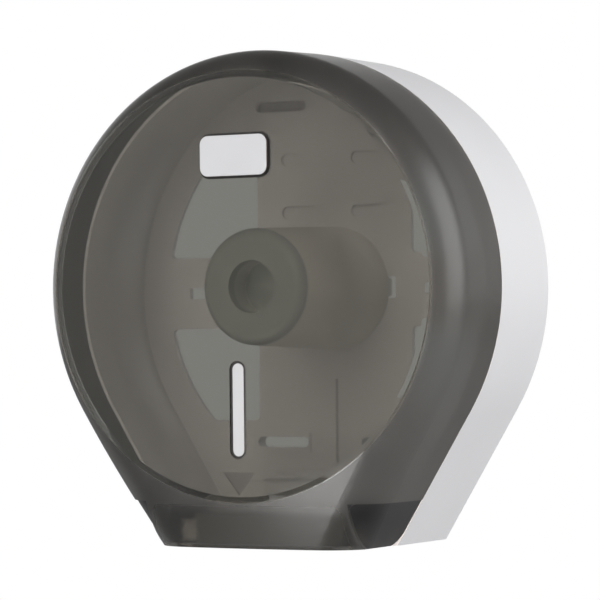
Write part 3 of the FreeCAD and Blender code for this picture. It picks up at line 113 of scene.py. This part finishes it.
# White ABS with a satin mould skin: a clean, slightly cool white
whiteAbs = mouldedPlastic("whiteAbs", {
    "dark": "e2e2e4", "light": "e8e8ea", "cloudSize": 60.0, "grainSize": 0.9, "grainDeep": 0.02,
    "roughness": 0.38, "roughSpread": 0.05, "bump": 0.25, "ior": 1.53})

# The same ABS for the hub, a little warmer, with painted shade: greyer over its front-facing nose and down
# its bore
shadedHubAbs = mouldedPlastic("shadedHubAbs", {
    "dark": "e6e5df", "light": "ecebe5", "cloudSize": 30.0, "grainSize": 0.9, "grainDeep": 0.02,
    "roughness": 0.42, "roughSpread": 0.05, "bump": 0.25, "ior": 1.53,
    "endDark": "a8aeaa", "endLight": "b0b6b2", "endPlace": -98.5, "endSoft": 3.0,
    "boreRadius": 14.0})

# The two inserts in the cover: polished white ABS in front, with a dark rear part that is painted shade on
# each insert's side face
shadedInsert = {
    "dark": "2b2a29", "light": "343332", "cloudSize": 20.0, "grainSize": 0.6, "grainDeep": 0.01,
    "roughness": 0.3, "roughSpread": 0.04, "bump": 0.2, "ior": 1.53, "endSoft": 0.1}
badgeAbsShadedSide = mouldedPlastic("badgeAbsShadedSide", {
    **shadedInsert, "endDark": "c4c4c6", "endLight": "cacacc", "endPlace": -124.3})
inlayAbsShadedSide = mouldedPlastic("inlayAbsShadedSide", {
    **shadedInsert, "endDark": "c4c4c5", "endLight": "cacacb", "endPlace": -121.5})

# Grey-beige ABS of the tear frame
greyAbs = mouldedPlastic("greyAbs", {
    "dark": "76736a", "light": "807d74", "cloudSize": 18.0, "grainSize": 0.8, "grainDeep": 0.02,
    "roughness": 0.45, "roughSpread": 0.06, "bump": 0.25, "ior": 1.53})

# Natural acetal of the hinge blocks: dense, waxy and off-white
naturalAcetal = mouldedPlastic("naturalAcetal", {
    "dark": "e2ddcf", "light": "e9e4d8", "cloudSize": 12.0, "grainSize": 0.7, "grainDeep": 0.02,
    "roughness": 0.42, "roughSpread": 0.06, "bump": 0.3, "ior": 1.48})

# Black moulded rubber of the corner buffers: matt and very dark
blackRubber = mouldedPlastic("blackRubber", {
    "dark": "1a1b1c", "light": "232425", "cloudSize": 8.0, "grainSize": 0.5, "grainDeep": 0.04,
    "roughness": 0.75, "roughSpread": 0.1, "bump": 0.5, "ior": 1.5})

# Painted shade: a soft, matt, very dark finish for the rings that stand in for the shade in the gaps around
# the inserts
gapShadeFilm = mouldedPlastic("gapShadeFilm", {
    "dark": "2b2a29", "light": "343332", "cloudSize": 5.0, "grainSize": 0.3, "grainDeep": 0.02,
    "roughness": 0.7, "roughSpread": 0.1, "bump": 0.4, "ior": 1.47})

# Grey moulded rubber of the wall pads: dusty and matt
wallRubber = mouldedPlastic("wallRubber", {
    "dark": "b4b4b6", "light": "bebec0", "cloudSize": 6.0, "grainSize": 0.5, "grainDeep": 0.04,
    "roughness": 0.85, "roughSpread": 0.08, "bump": 0.5, "ior": 1.52})


# Metal with fine marks in its colour and gloss, closer together along an axis whose squeeze is above 1,
# where they turn to streaks across it. They are drawn coarser than the real ones, so that they show.
def streakedMetal(name, style):
    material, tree = newMaterial(name)
    place = addNode(tree, "ShaderNodeTexCoord").outputs["Object"]
    drawn = addNode(tree, "ShaderNodeMapping", {"Vector": place, "Scale": style["squeeze"]}).outputs["Vector"]
    streak = addNode(tree, "ShaderNodeTexNoise", {
        "Vector": drawn, "Scale": 1 / (style["grainSize"] * mm), "Detail": 3.0}).outputs["Fac"]
    shade = addNode(tree, "ShaderNodeMix", {
        0: streak, 6: hexColor(style["dark"]), 7: hexColor(style["light"])}, data_type="RGBA").outputs[2]
    gloss = addNode(tree, "ShaderNodeMapRange", {
        "Value": streak, "To Min": style["roughness"] - style["roughSpread"],
        "To Max": style["roughness"] + style["roughSpread"]}).outputs["Result"]
    bump = addNode(tree, "ShaderNodeBump", {
        "Height": streak, "Strength": style["bump"], "Distance": style["grainDeep"] * mm}).outputs["Normal"]
    shader = addNode(tree, "ShaderNodeBsdfPrincipled", {
        "Base Color": shade, "Roughness": gloss, "Metallic": 1.0, "Normal": bump}).outputs["BSDF"]
    addNode(tree, "ShaderNodeOutputMaterial", {"Surface": shader})
    return material


# Zinc-plated steel: bluish bright plating, slightly cloudy
zincPlate = streakedMetal("zincPlate", {
    "dark": "a9adb3", "light": "c2c5c9", "squeeze": (1.0, 1.0, 1.0), "grainSize": 0.8, "grainDeep": 0.02,
    "roughness": 0.3, "roughSpread": 0.08, "bump": 0.2})

# Ground steel of the hinge pins, with marks around the pin
groundSteel = streakedMetal("groundSteel", {
    "dark": "9c9ea1", "light": "b4b6b8", "squeeze": (6.0, 1.0, 1.0), "grainSize": 0.6, "grainDeep": 0.02,
    "roughness": 0.28, "roughSpread": 0.06, "bump": 0.2})

# Chrome-plated die casting of the lock: smooth and bright
lockChrome = streakedMetal("lockChrome", {
    "dark": "c4c5c7", "light": "d2d3d5", "squeeze": (1.0, 1.0, 1.0), "grainSize": 1.2, "grainDeep": 0.02,
    "roughness": 0.12, "roughSpread": 0.03, "bump": 0.05})


# Smoked polycarbonate of the cover: a warm grey tint, polished on the disc, misted by the
# mould's texture on the shoulder, less so on the strip under the disc, and nearly black in
# the corners. The sunk arrow is tinted darker. Light that only passes on its way to
# the inside isn't darkened twice.
smoked = {
    "tint": "797974", "frostTint": "5c5c5a", "cornerTint": "2e2e31", "passTint": "fffaf6",
    "discRadius": 121.0, "discEdge": 0.6, "cornerReach": 65.0, "cornerTop": -120.9, "cornerEdge": 0.5,
    "arrowTint": "6a6a66", "arrowHalf": 10.0, "arrowTop": -104.1, "arrowTip": -116.6, "arrowEdge": 0.2,
    "stripReach": 62.0, "stripTop": -122.0, "stripEdge": 6.0,
    "discRoughness": 0.04, "frostRoughness": 0.27, "stripRoughness": 0.14, "roughSpread": 0.04,
    "discMist": 0.04, "frostMist": 0.08, "ior": 1.46, "grainSize": 0.7, "grainDeep": 0.02, "bump": 0.25}


def smokedClear(name):
    material, tree = newMaterial(name)
    place = addNode(tree, "ShaderNodeTexCoord").outputs["Object"]
    parts = addNode(tree, "ShaderNodeSeparateXYZ", {"Vector": place})
    level = addNode(tree, "ShaderNodeCombineXYZ", {"X": parts.outputs["X"], "Z": parts.outputs["Z"]})
    radius = addNode(tree, "ShaderNodeVectorMath", {0: level.outputs["Vector"]}, operation="LENGTH")
    frost = addNode(tree, "ShaderNodeMapRange", {
        "Value": radius.outputs["Value"], "From Min": smoked["discRadius"] * mm,
        "From Max": (smoked["discRadius"] + smoked["discEdge"]) * mm}).outputs["Result"]
    reach = addNode(tree, "ShaderNodeMath", {0: parts.outputs["X"]}, operation="ABSOLUTE").outputs[0]

    # the two corners, and the strip between them
    shares = {}
    for zone, sideways in (("corner", 1), ("strip", -1)):
        edge = smoked[zone + "Edge"] * mm
        beside = addNode(tree, "ShaderNodeMapRange", {
            "Value": reach, "From Min": smoked[zone + "Reach"] * mm,
            "From Max": smoked[zone + "Reach"] * mm + sideways * edge}).outputs["Result"]
        below = addNode(tree, "ShaderNodeMapRange", {
            "Value": parts.outputs["Z"], "From Min": smoked[zone + "Top"] * mm,
            "From Max": smoked[zone + "Top"] * mm - edge}).outputs["Result"]
        shares[zone] = addNode(tree, "ShaderNodeMath", {0: beside, 1: below}, operation="MULTIPLY").outputs[0]

    # the arrow: as wide at each height as its slanting sides allow, and only below its top edge
    arrowEdge = smoked["arrowEdge"] * mm
    allowed = addNode(tree, "ShaderNodeMapRange", {
        "Value": parts.outputs["Z"], "From Min": smoked["arrowTip"] * mm, "From Max": smoked["arrowTop"] * mm,
        "To Max": smoked["arrowHalf"] * mm}, clamp=False).outputs["Result"]
    spare = addNode(tree, "ShaderNodeMath", {0: allowed, 1: reach}, operation="SUBTRACT").outputs[0]
    between = addNode(tree, "ShaderNodeMapRange", {"Value": spare, "From Max": arrowEdge}).outputs["Result"]
    under = addNode(tree, "ShaderNodeMapRange", {
        "Value": parts.outputs["Z"], "From Min": smoked["arrowTop"] * mm + arrowEdge,
        "From Max": smoked["arrowTop"] * mm}).outputs["Result"]
    arrow = addNode(tree, "ShaderNodeMath", {0: between, 1: under}, operation="MULTIPLY").outputs[0]

    disc = addNode(tree, "ShaderNodeMix", {
        0: arrow, 6: hexColor(smoked["tint"]), 7: hexColor(smoked["arrowTint"])}, data_type="RGBA").outputs[2]
    shade = addNode(tree, "ShaderNodeMix", {
        0: frost, 6: disc, 7: hexColor(smoked["frostTint"])}, data_type="RGBA").outputs[2]
    colour = addNode(tree, "ShaderNodeMix", {
        0: shares["corner"], 6: shade, 7: hexColor(smoked["cornerTint"])}, data_type="RGBA").outputs[2]
    grain = addNode(tree, "ShaderNodeTexNoise", {
        "Vector": place, "Scale": 1 / (smoked["grainSize"] * mm), "Detail": 2.0}).outputs["Fac"]
    skin = addNode(tree, "ShaderNodeMapRange", {
        "Value": frost, "To Min": smoked["discRoughness"], "To Max": smoked["frostRoughness"]})
    eased = addNode(tree, "ShaderNodeMix", {
        "Factor": shares["strip"], "A": skin.outputs["Result"], "B": smoked["stripRoughness"]})
    rough = addNode(tree, "ShaderNodeMath", {0: grain, 1: smoked["roughSpread"], 2: eased.outputs["Result"]},
                    operation="MULTIPLY_ADD").outputs[0]
    strength = addNode(tree, "ShaderNodeMath", {0: frost, 1: smoked["bump"]}, operation="MULTIPLY").outputs[0]
    bump = addNode(tree, "ShaderNodeBump", {
        "Height": grain, "Strength": strength, "Distance": smoked["grainDeep"] * mm}).outputs["Normal"]
    clear = addNode(tree, "ShaderNodeMapRange", {
        "Value": frost, "To Min": 1 - smoked["discMist"],
        "To Max": 1 - smoked["frostMist"]}).outputs["Result"]
    plastic = addNode(tree, "ShaderNodeBsdfPrincipled", {
        "Base Color": colour, "Roughness": rough, "Transmission Weight": clear, "IOR": smoked["ior"],
        "Normal": bump}).outputs["BSDF"]
    passing = addNode(tree, "ShaderNodeBsdfTransparent", {
        "Color": hexColor(smoked["passTint"])}).outputs["BSDF"]
    path = addNode(tree, "ShaderNodeLightPath")
    lighting = addNode(tree, "ShaderNodeMath", {
        0: path.outputs["Is Shadow Ray"], 1: path.outputs["Is Diffuse Ray"]}, operation="MAXIMUM").outputs[0]
    both = addNode(tree, "ShaderNodeMixShader", {0: lighting, 1: plastic, 2: passing}).outputs["Shader"]
    addNode(tree, "ShaderNodeOutputMaterial", {"Surface": both})
    return material


smokedCover = smokedClear("smokedPolycarbonate")
print("materials made")

# Which finish each CAD node takes
finishes = {
    "rear_housing": whiteAbs, "hub_core": shadedHubAbs, "front_cover": smokedCover,
    "badge_plate": badgeAbsShadedSide, "front_inlay": inlayAbsShadedSide, "tear_frame": greyAbs,
    "hinge_block_left": naturalAcetal, "hinge_block_right": naturalAcetal,
    "corner_buffer_left": blackRubber, "corner_buffer_right": blackRubber,
    "hinge_pin_left": groundSteel, "hinge_pin_right": groundSteel,
    "upper_wall_pad_left": wallRubber, "upper_wall_pad_right": wallRubber,
    "tear_frame_screws": zincPlate, "hinge_block_screws": zincPlate, "lock_keeper_screws": zincPlate,
    "lock_cam_screw": zincPlate, "lock_keeper": zincPlate, "lock_cam": zincPlate,
    "lock_sleeve": lockChrome, "lock_nut": lockChrome, "lock_barrel": lockChrome,
}
for node, finish in finishes.items():
    mesh = nodes[node].data
    mesh.materials.clear()
    mesh.materials.append(finish)


# Makes a piece of a finished mesh, on a body and with its finish
def addPiece(name, mesh, material, body):
    mesh.name = name
    mesh.materials.clear()
    mesh.materials.append(material)
    piece = bpy.data.objects.new(name, mesh)
    bpy.context.scene.collection.objects.link(piece)
    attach(piece, body)
    return piece


# Painted shade: a thin black ring on the floor of each pocket, drawn as the dark line of shade in the gap
# around each insert
shadeRings = {
    "rings": {
        "badgeGapShade": {"wide": 43.0, "tall": 22.8, "rise": 73.2, "corner": 5.0},
        "inlayGapShade": {"wide": 7.2, "tall": 52.0, "rise": -69.1, "corner": 3.6}},
    "margin": 1.35, "play": 0.05, "rear": -121.02, "front": -121.35, "steps": 10, "merge": 0.001}


def roundedOutline(wide, tall, corner, steps):
    points = []
    for turn, (sx, sz) in enumerate(((1, 1), (-1, 1), (-1, -1), (1, -1))):
        for step in range(steps + 1):
            angle = math.radians(90 * (turn + step / steps))
            points.append((sx * (wide / 2 - corner) + corner * math.cos(angle),
                           sz * (tall / 2 - corner) + corner * math.sin(angle)))
    return points


# A flat ring between an outer and an inner outline
def flatRing(outer, inner, rise, rear, front):
    work = bmesh.new()
    rows = []
    for outline, level in ((outer, rear), (outer, front), (inner, front), (inner, rear)):
        rows.append([work.verts.new((x * mm, level * mm, (z + rise) * mm)) for x, z in outline])
    for row, nextRow in zip(rows, rows[1:] + rows[:1]):
        for at in range(len(row)):
            after = (at + 1) % len(row)
            work.faces.new((row[at], row[after], nextRow[after], nextRow[at]))
    bmesh.ops.remove_doubles(work, verts=work.verts, dist=shadeRings["merge"] * mm)
    bmesh.ops.recalc_face_normals(work, faces=work.faces)
    mesh = bpy.data.meshes.new("ring")
    work.to_mesh(mesh)
    work.free()
    return mesh


for name, size in shadeRings["rings"].items():
    outlines = []
    for grow in (shadeRings["margin"], shadeRings["play"]):
        outlines.append(roundedOutline(
            size["wide"] + grow * 2, size["tall"] + grow * 2, size["corner"] + grow, shadeRings["steps"]))
    ring = flatRing(*outlines, size["rise"], shadeRings["rear"], shadeRings["front"])
    addPiece(name, ring, gapShadeFilm, "cover")
print("films made")

# Rubber flaps that close the screw holes of the upper wall pads: four each, parted by a cross slit
flaps = {"reach": 35.0, "rise": 109.0, "radius": 3.6, "rear": -3.6, "front": -4.2, "slit": 0.16, "dish": 0.35,
         "steps": 8}


def flapMesh():
    work = bmesh.new()
    half = flaps["slit"] / 2
    for x in (-flaps["reach"], flaps["reach"]):
        for turn in range(4):
            start = math.radians(90 * turn)
            middle = (half * (math.cos(start) - math.sin(start)), half * (math.sin(start) + math.cos(start)))
            lean = math.asin(half / flaps["radius"])
            layers = []
            for level in (flaps["rear"], flaps["front"]):
                rim = []
                for step in range(flaps["steps"] + 1):
                    angle = start + lean + (math.pi / 2 - lean * 2) * step / flaps["steps"]
                    rim.append(work.verts.new(((x + flaps["radius"] * math.cos(angle)) * mm, level * mm,
                                               (flaps["rise"] + flaps["radius"] * math.sin(angle)) * mm)))
                tip = work.verts.new(((x + middle[0]) * mm, (level - flaps["dish"]) * mm,
                                      (flaps["rise"] + middle[1]) * mm))
                layers.append([tip] + rim)
            rear, front = layers
            work.faces.new(rear)
            work.faces.new(front[::-1])
            for at in range(len(rear)):
                after = (at + 1) % len(rear)
                work.faces.new((rear[at], front[at], front[after], rear[after]))
    bmesh.ops.recalc_face_normals(work, faces=work.faces)
    bmesh.ops.triangulate(work, faces=work.faces)
    mesh = bpy.data.meshes.new("flaps")
    work.to_mesh(mesh)
    work.free()
    return mesh


addPiece("padFlaps", flapMesh(), wallRubber, "housing")
print("pad flaps made")

# Self-tapping screws: a rounded pan head with a cross recess, a thread and a point.
# The tree draws one screw and puts it on every point of the mesh that it is given.
screw = {
    "Head Radius": 3.0 * mm, "Head Height": 1.9 * mm, "Core Radius": 1.2 * mm, "Thread Radius": 1.58 * mm,
    "Thread Pitch": 1.3 * mm, "Point Length": 2.6 * mm, "Cross Width": 0.8 * mm, "Cross Depth": 1.1 * mm}

# How finely a screw is drawn, and how much larger than its head the ball is that rounds it
screwForm = {
    "headSides": 40, "headRings": 24, "ballHeight": 1.25, "ballWidth": 1.04, "shankSides": 24,
    "tipRadius": 0.1, "turnSteps": 20, "ridgeSides": 4, "sharpAngle": 35}
screwSets = {
    "tearFrameScrews": {"node": "tear_frame_screws", "length": 13.0, "turn": (90, 0, 0),
                        "seats": [(-28.5, -4.5, -136.0), (28.5, -4.5, -136.0)]},
    "hingeBlockScrews": {"node": "hinge_block_screws", "length": 13.0, "turn": (90, 0, 0),
                         "seats": [(x, -4.5, z) for x in (-57.4, 57.4) for z in (-137.9, -130.0)]},
    "lockKeeperScrews": {"node": "lock_keeper_screws", "length": 4.6, "turn": (0, 0, 0),
                         "seats": [(12.5, y, 124.5) for y in (-42.0, -50.0)]},
}


def screwTree():
    tree = bpy.data.node_groups.new("screws", "GeometryNodeTree")
    tree.interface.new_socket("Geometry", in_out="OUTPUT", socket_type="NodeSocketGeometry")
    tree.interface.new_socket("Geometry", in_out="INPUT", socket_type="NodeSocketGeometry")
    for name in [*screw, "Length"]:
        tree.interface.new_socket(name, in_out="INPUT", socket_type="NodeSocketFloat")
    tree.interface.new_socket("Turn", in_out="INPUT", socket_type="NodeSocketVector")
    given = addNode(tree, "NodeGroupInput").outputs

    # pan head: a flattened ball held inside a drum, above the seat at Z = 0
    ball = addNode(tree, "GeometryNodeMeshUVSphere", {
        "Segments": screwForm["headSides"], "Rings": screwForm["headRings"], "Radius": 1.0})
    high = addNode(tree, "ShaderNodeMath", {
        0: given["Head Height"], 1: screwForm["ballHeight"]}, operation="MULTIPLY")
    wide = addNode(tree, "ShaderNodeMath", {
        0: given["Head Radius"], 1: screwForm["ballWidth"]}, operation="MULTIPLY")
    ballSize = addNode(tree, "ShaderNodeCombineXYZ", {
        "X": wide.outputs[0], "Y": wide.outputs[0], "Z": high.outputs[0]})
    flatBall = addNode(tree, "GeometryNodeTransform", {
        "Geometry": ball.outputs["Mesh"], "Scale": ballSize.outputs["Vector"]})
    drum = addNode(tree, "GeometryNodeMeshCylinder", {
        "Vertices": screwForm["headSides"], "Radius": given["Head Radius"], "Depth": given["Head Height"]})
    halfHead = addNode(tree, "ShaderNodeMath", {0: given["Head Height"], 1: -0.5}, operation="MULTIPLY")
    drumPlace = addNode(tree, "ShaderNodeCombineXYZ", {"Z": halfHead.outputs[0]})
    lowDrum = addNode(tree, "GeometryNodeTransform", {
        "Geometry": drum.outputs["Mesh"], "Translation": drumPlace.outputs["Vector"]})
    head = addNode(tree, "GeometryNodeMeshBoolean", {"Mesh 2": flatBall.outputs["Geometry"]},
                   operation="INTERSECT", solver="EXACT")
    tree.links.new(lowDrum.outputs["Geometry"], head.inputs["Mesh 2"])

    # cross recess: two bars cut into the head
    barTall = addNode(tree, "ShaderNodeMath", {0: given["Cross Depth"], 1: 2.0}, operation="MULTIPLY")
    barSize = addNode(tree, "ShaderNodeCombineXYZ", {
        "X": given["Head Radius"], "Y": given["Cross Width"], "Z": barTall.outputs[0]})
    headTop = addNode(tree, "ShaderNodeMath", {0: given["Head Height"], 1: -1.0}, operation="MULTIPLY")
    barPlace = addNode(tree, "ShaderNodeCombineXYZ", {"Z": headTop.outputs[0]})
    bar = addNode(tree, "GeometryNodeMeshCube", {"Size": barSize.outputs["Vector"]})
    bars = []
    for angle in (0, 90):
        bars.append(addNode(tree, "GeometryNodeTransform", {
            "Geometry": bar.outputs["Mesh"], "Translation": barPlace.outputs["Vector"],
            "Rotation": (0, 0, math.radians(angle))}).outputs["Geometry"])
    cutHead = addNode(tree, "GeometryNodeMeshBoolean", {"Mesh 1": head.outputs["Mesh"], "Mesh 2": bars[0]},
                      operation="DIFFERENCE", solver="EXACT")
    tree.links.new(bars[1], cutHead.inputs["Mesh 2"])

    # core and point
    bodyLong = addNode(tree, "ShaderNodeMath", {0: given["Length"], 1: given["Point Length"]},
                       operation="SUBTRACT")
    core = addNode(tree, "GeometryNodeMeshCylinder", {
        "Vertices": screwForm["shankSides"], "Radius": given["Core Radius"], "Depth": bodyLong.outputs[0]})
    coreMiddle = addNode(tree, "ShaderNodeMath", {0: bodyLong.outputs[0], 1: 0.5}, operation="MULTIPLY")
    corePlace = addNode(tree, "ShaderNodeCombineXYZ", {"Z": coreMiddle.outputs[0]})
    placedCore = addNode(tree, "GeometryNodeTransform", {
        "Geometry": core.outputs["Mesh"], "Translation": corePlace.outputs["Vector"]})
    point = addNode(tree, "GeometryNodeMeshCone", {
        "Vertices": screwForm["shankSides"], "Radius Top": screwForm["tipRadius"] * mm,
        "Radius Bottom": given["Core Radius"], "Depth": given["Point Length"]})
    pointPlace = addNode(tree, "ShaderNodeCombineXYZ", {"Z": bodyLong.outputs[0]})
    placedPoint = addNode(tree, "GeometryNodeTransform", {
        "Geometry": point.outputs["Mesh"], "Translation": pointPlace.outputs["Vector"]})

    # thread: a ridge that winds around the core
    ridgeRadius = addNode(tree, "ShaderNodeMath", {0: given["Thread Radius"], 1: given["Core Radius"]},
                          operation="SUBTRACT")
    windings = addNode(tree, "ShaderNodeMath", {0: bodyLong.outputs[0], 1: given["Thread Pitch"]},
                       operation="DIVIDE")
    coil = addNode(tree, "GeometryNodeCurveSpiral", {
        "Resolution": screwForm["turnSteps"], "Rotations": windings.outputs[0],
        "Start Radius": given["Core Radius"], "End Radius": given["Core Radius"],
        "Height": bodyLong.outputs[0]})
    ridge = addNode(tree, "GeometryNodeCurvePrimitiveCircle", {
        "Resolution": screwForm["ridgeSides"], "Radius": ridgeRadius.outputs[0]})
    thread = addNode(tree, "GeometryNodeCurveToMesh", {
        "Curve": coil.outputs["Curve"], "Profile Curve": ridge.outputs["Curve"], "Fill Caps": True})

    whole = addNode(tree, "GeometryNodeJoinGeometry")
    for made in (thread.outputs["Mesh"], placedPoint.outputs["Geometry"], placedCore.outputs["Geometry"],
                 cutHead.outputs["Mesh"]):
        tree.links.new(made, whole.inputs["Geometry"])
    turn = addNode(tree, "FunctionNodeEulerToRotation", {"Euler": given["Turn"]})
    placed = addNode(tree, "GeometryNodeInstanceOnPoints", {
        "Points": given["Geometry"], "Instance": whole.outputs["Geometry"],
        "Rotation": turn.outputs["Rotation"]})
    real = addNode(tree, "GeometryNodeRealizeInstances", {"Geometry": placed.outputs["Instances"]})
    dressed = addNode(tree, "GeometryNodeSetMaterial", {
        "Geometry": real.outputs["Geometry"], "Material": zincPlate})
    addNode(tree, "NodeGroupOutput", {"Geometry": dressed.outputs["Geometry"]})
    return tree


screws = screwTree()
sockets = {item.name: item.identifier for item in screws.interface.items_tree if item.in_out == "INPUT"}
for name, size in screwSets.items():
    seats = bpy.data.meshes.new(name + "Seats")
    seats.from_pydata([[value * mm for value in seat] for seat in size["seats"]], [], [])
    holder = bpy.data.objects.new(name + "Holder", seats)
    bpy.context.scene.collection.objects.link(holder)
    modifier = holder.modifiers.new("screws", "NODES")
    modifier.node_group = screws
    for key, value in screw.items():
        modifier[sockets[key]] = value
    modifier[sockets["Length"]] = size["length"] * mm
    modifier[sockets["Turn"]] = [math.radians(angle) for angle in size["turn"]]
    bpy.context.view_layer.update()
    ready = holder.evaluated_get(bpy.context.evaluated_depsgraph_get())
    mesh = bpy.data.meshes.new_from_object(ready)
    bpy.data.objects.remove(holder)
    mesh.shade_smooth()
    mesh.set_sharp_from_angle(angle=math.radians(screwForm["sharpAngle"]))
    piece = addPiece(name, mesh, zincPlate, "housing")
    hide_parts(size["node"])
    print(name, len(mesh.vertices), "points")

# Floor, light and backdrop, in metres and watts. The sky fades between the two ends of each range:
# upward (dimRange), round to the back (backRange) and above the backdrop (lowRange).
studio = {
    "floorHeight": -0.55, "floorSize": 14.0, "floorColor": "cccccc",
    "backLevel": 1.0, "frontLevel": 0.5, "topLevel": 0.12, "toBack": (-0.489, 0.872, 0.0),
    "dimRange": (0.1, 0.7), "backRange": (0.5, 0.8), "lowRange": (0.45, 0.2),
    "lamps": [
        # name, place, aim, width, height, watts
        ("keyLamp", (0.0, -2.6, 1.3), (0, -0.06, 0), 2.4, 2.4, 65.0),
        ("fillLamp", (2.3, 0.3, 0.7), (0, -0.05, 0), 2.2, 2.2, 40.0),
        ("lowLamp", (-0.17, -0.82, -0.5), (0.03, -0.12, -0.12), 0.3, 0.2, 2.3),
    ],
}

bpy.ops.mesh.primitive_plane_add(size=studio["floorSize"], location=(0, 0, studio["floorHeight"]))
floor = bpy.context.object
floor.name = "floor"
paleFloor, floorTree = newMaterial("paleFloor")
matt = addNode(floorTree, "ShaderNodeBsdfDiffuse", {"Color": hexColor(studio["floorColor"])}).outputs["BSDF"]
path = addNode(floorTree, "ShaderNodeLightPath")
seen = addNode(floorTree, "ShaderNodeMath", {
    0: path.outputs["Is Camera Ray"], 1: path.outputs["Is Transmission Ray"]}, operation="MAXIMUM").outputs[0]
white = addNode(floorTree, "ShaderNodeEmission", {"Color": (1, 1, 1, 1), "Strength": 1.0}).outputs["Emission"]
floorShader = addNode(floorTree, "ShaderNodeMixShader", {0: seen, 1: matt, 2: white}).outputs["Shader"]
addNode(floorTree, "ShaderNodeOutputMaterial", {"Surface": floorShader})
floor.data.materials.append(paleFloor)

# White behind the object, dimmer in front of it and overhead
world = bpy.data.worlds.new("studioWorld")
world.use_nodes = True
world.node_tree.nodes.clear()
bpy.context.scene.world = world
sky = world.node_tree
toward = addNode(sky, "ShaderNodeTexCoord").outputs["Generated"]
facing = addNode(sky, "ShaderNodeVectorMath", {0: toward, 1: studio["toBack"]}, operation="DOT_PRODUCT")
height = addNode(sky, "ShaderNodeSeparateXYZ", {"Vector": toward}).outputs["Z"]
room = addNode(sky, "ShaderNodeMapRange", {
    "Value": height, "From Min": studio["dimRange"][0], "From Max": studio["dimRange"][1],
    "To Min": studio["frontLevel"], "To Max": studio["topLevel"]}).outputs["Result"]
backShare = addNode(sky, "ShaderNodeMapRange", {
    "Value": facing.outputs["Value"], "From Min": studio["backRange"][0],
    "From Max": studio["backRange"][1]}).outputs["Result"]
lowShare = addNode(sky, "ShaderNodeMapRange", {
    "Value": height, "From Min": studio["lowRange"][0], "From Max": studio["lowRange"][1]}).outputs["Result"]
whiteShare = addNode(sky, "ShaderNodeMath", {0: backShare, 1: lowShare}, operation="MULTIPLY").outputs[0]
level = addNode(sky, "ShaderNodeMix", {"Factor": whiteShare, "A": room, "B": studio["backLevel"]})
glow = addNode(sky, "ShaderNodeBackground", {"Color": (1, 1, 1, 1), "Strength": level.outputs["Result"]})
addNode(sky, "ShaderNodeOutputWorld", {"Surface": glow.outputs["Background"]})

for name, place, aim, wide, tall, watts in studio["lamps"]:
    light = bpy.data.lights.new(name, "AREA")
    light.shape = "RECTANGLE"
    light.size = wide
    light.size_y = tall
    light.energy = watts
    lamp = bpy.data.objects.new(name, light)
    lamp.location = place
    lamp.rotation_euler = (Vector(aim) - Vector(place)).to_track_quat("-Z", "Y").to_euler()
    bpy.context.scene.collection.objects.link(lamp)

# Camera, at the photograph's angle: place in metres, lens and sensor in millimetres
view = {"place": (0.883568, -1.624107, -0.031531), "forward": (-0.48939, 0.87196, 0.01347), "roll": -0.639,
        "lens": 187.055, "sensor": 36.0, "near": 0.05}
forward = Vector(view["forward"]).normalized()
side = forward.cross(Vector((0, 0, 1))).normalized()
up = side.cross(forward)
roll = math.radians(view["roll"])
right = side * math.cos(roll) + up * math.sin(roll)
top = up * math.cos(roll) - side * math.sin(roll)
cameraData = bpy.data.cameras.new("camera")
cameraData.lens = view["lens"]
cameraData.sensor_width = view["sensor"]
cameraData.clip_start = view["near"]
camera = bpy.data.objects.new("camera", cameraData)
camera.matrix_world = Matrix.Translation(view["place"]) @ Matrix((right, top, -forward)).transposed().to_4x4()
bpy.context.scene.collection.objects.link(camera)
bpy.context.scene.camera = camera
bpy.context.scene.view_settings.view_transform = "Standard"
print("camera and light set")
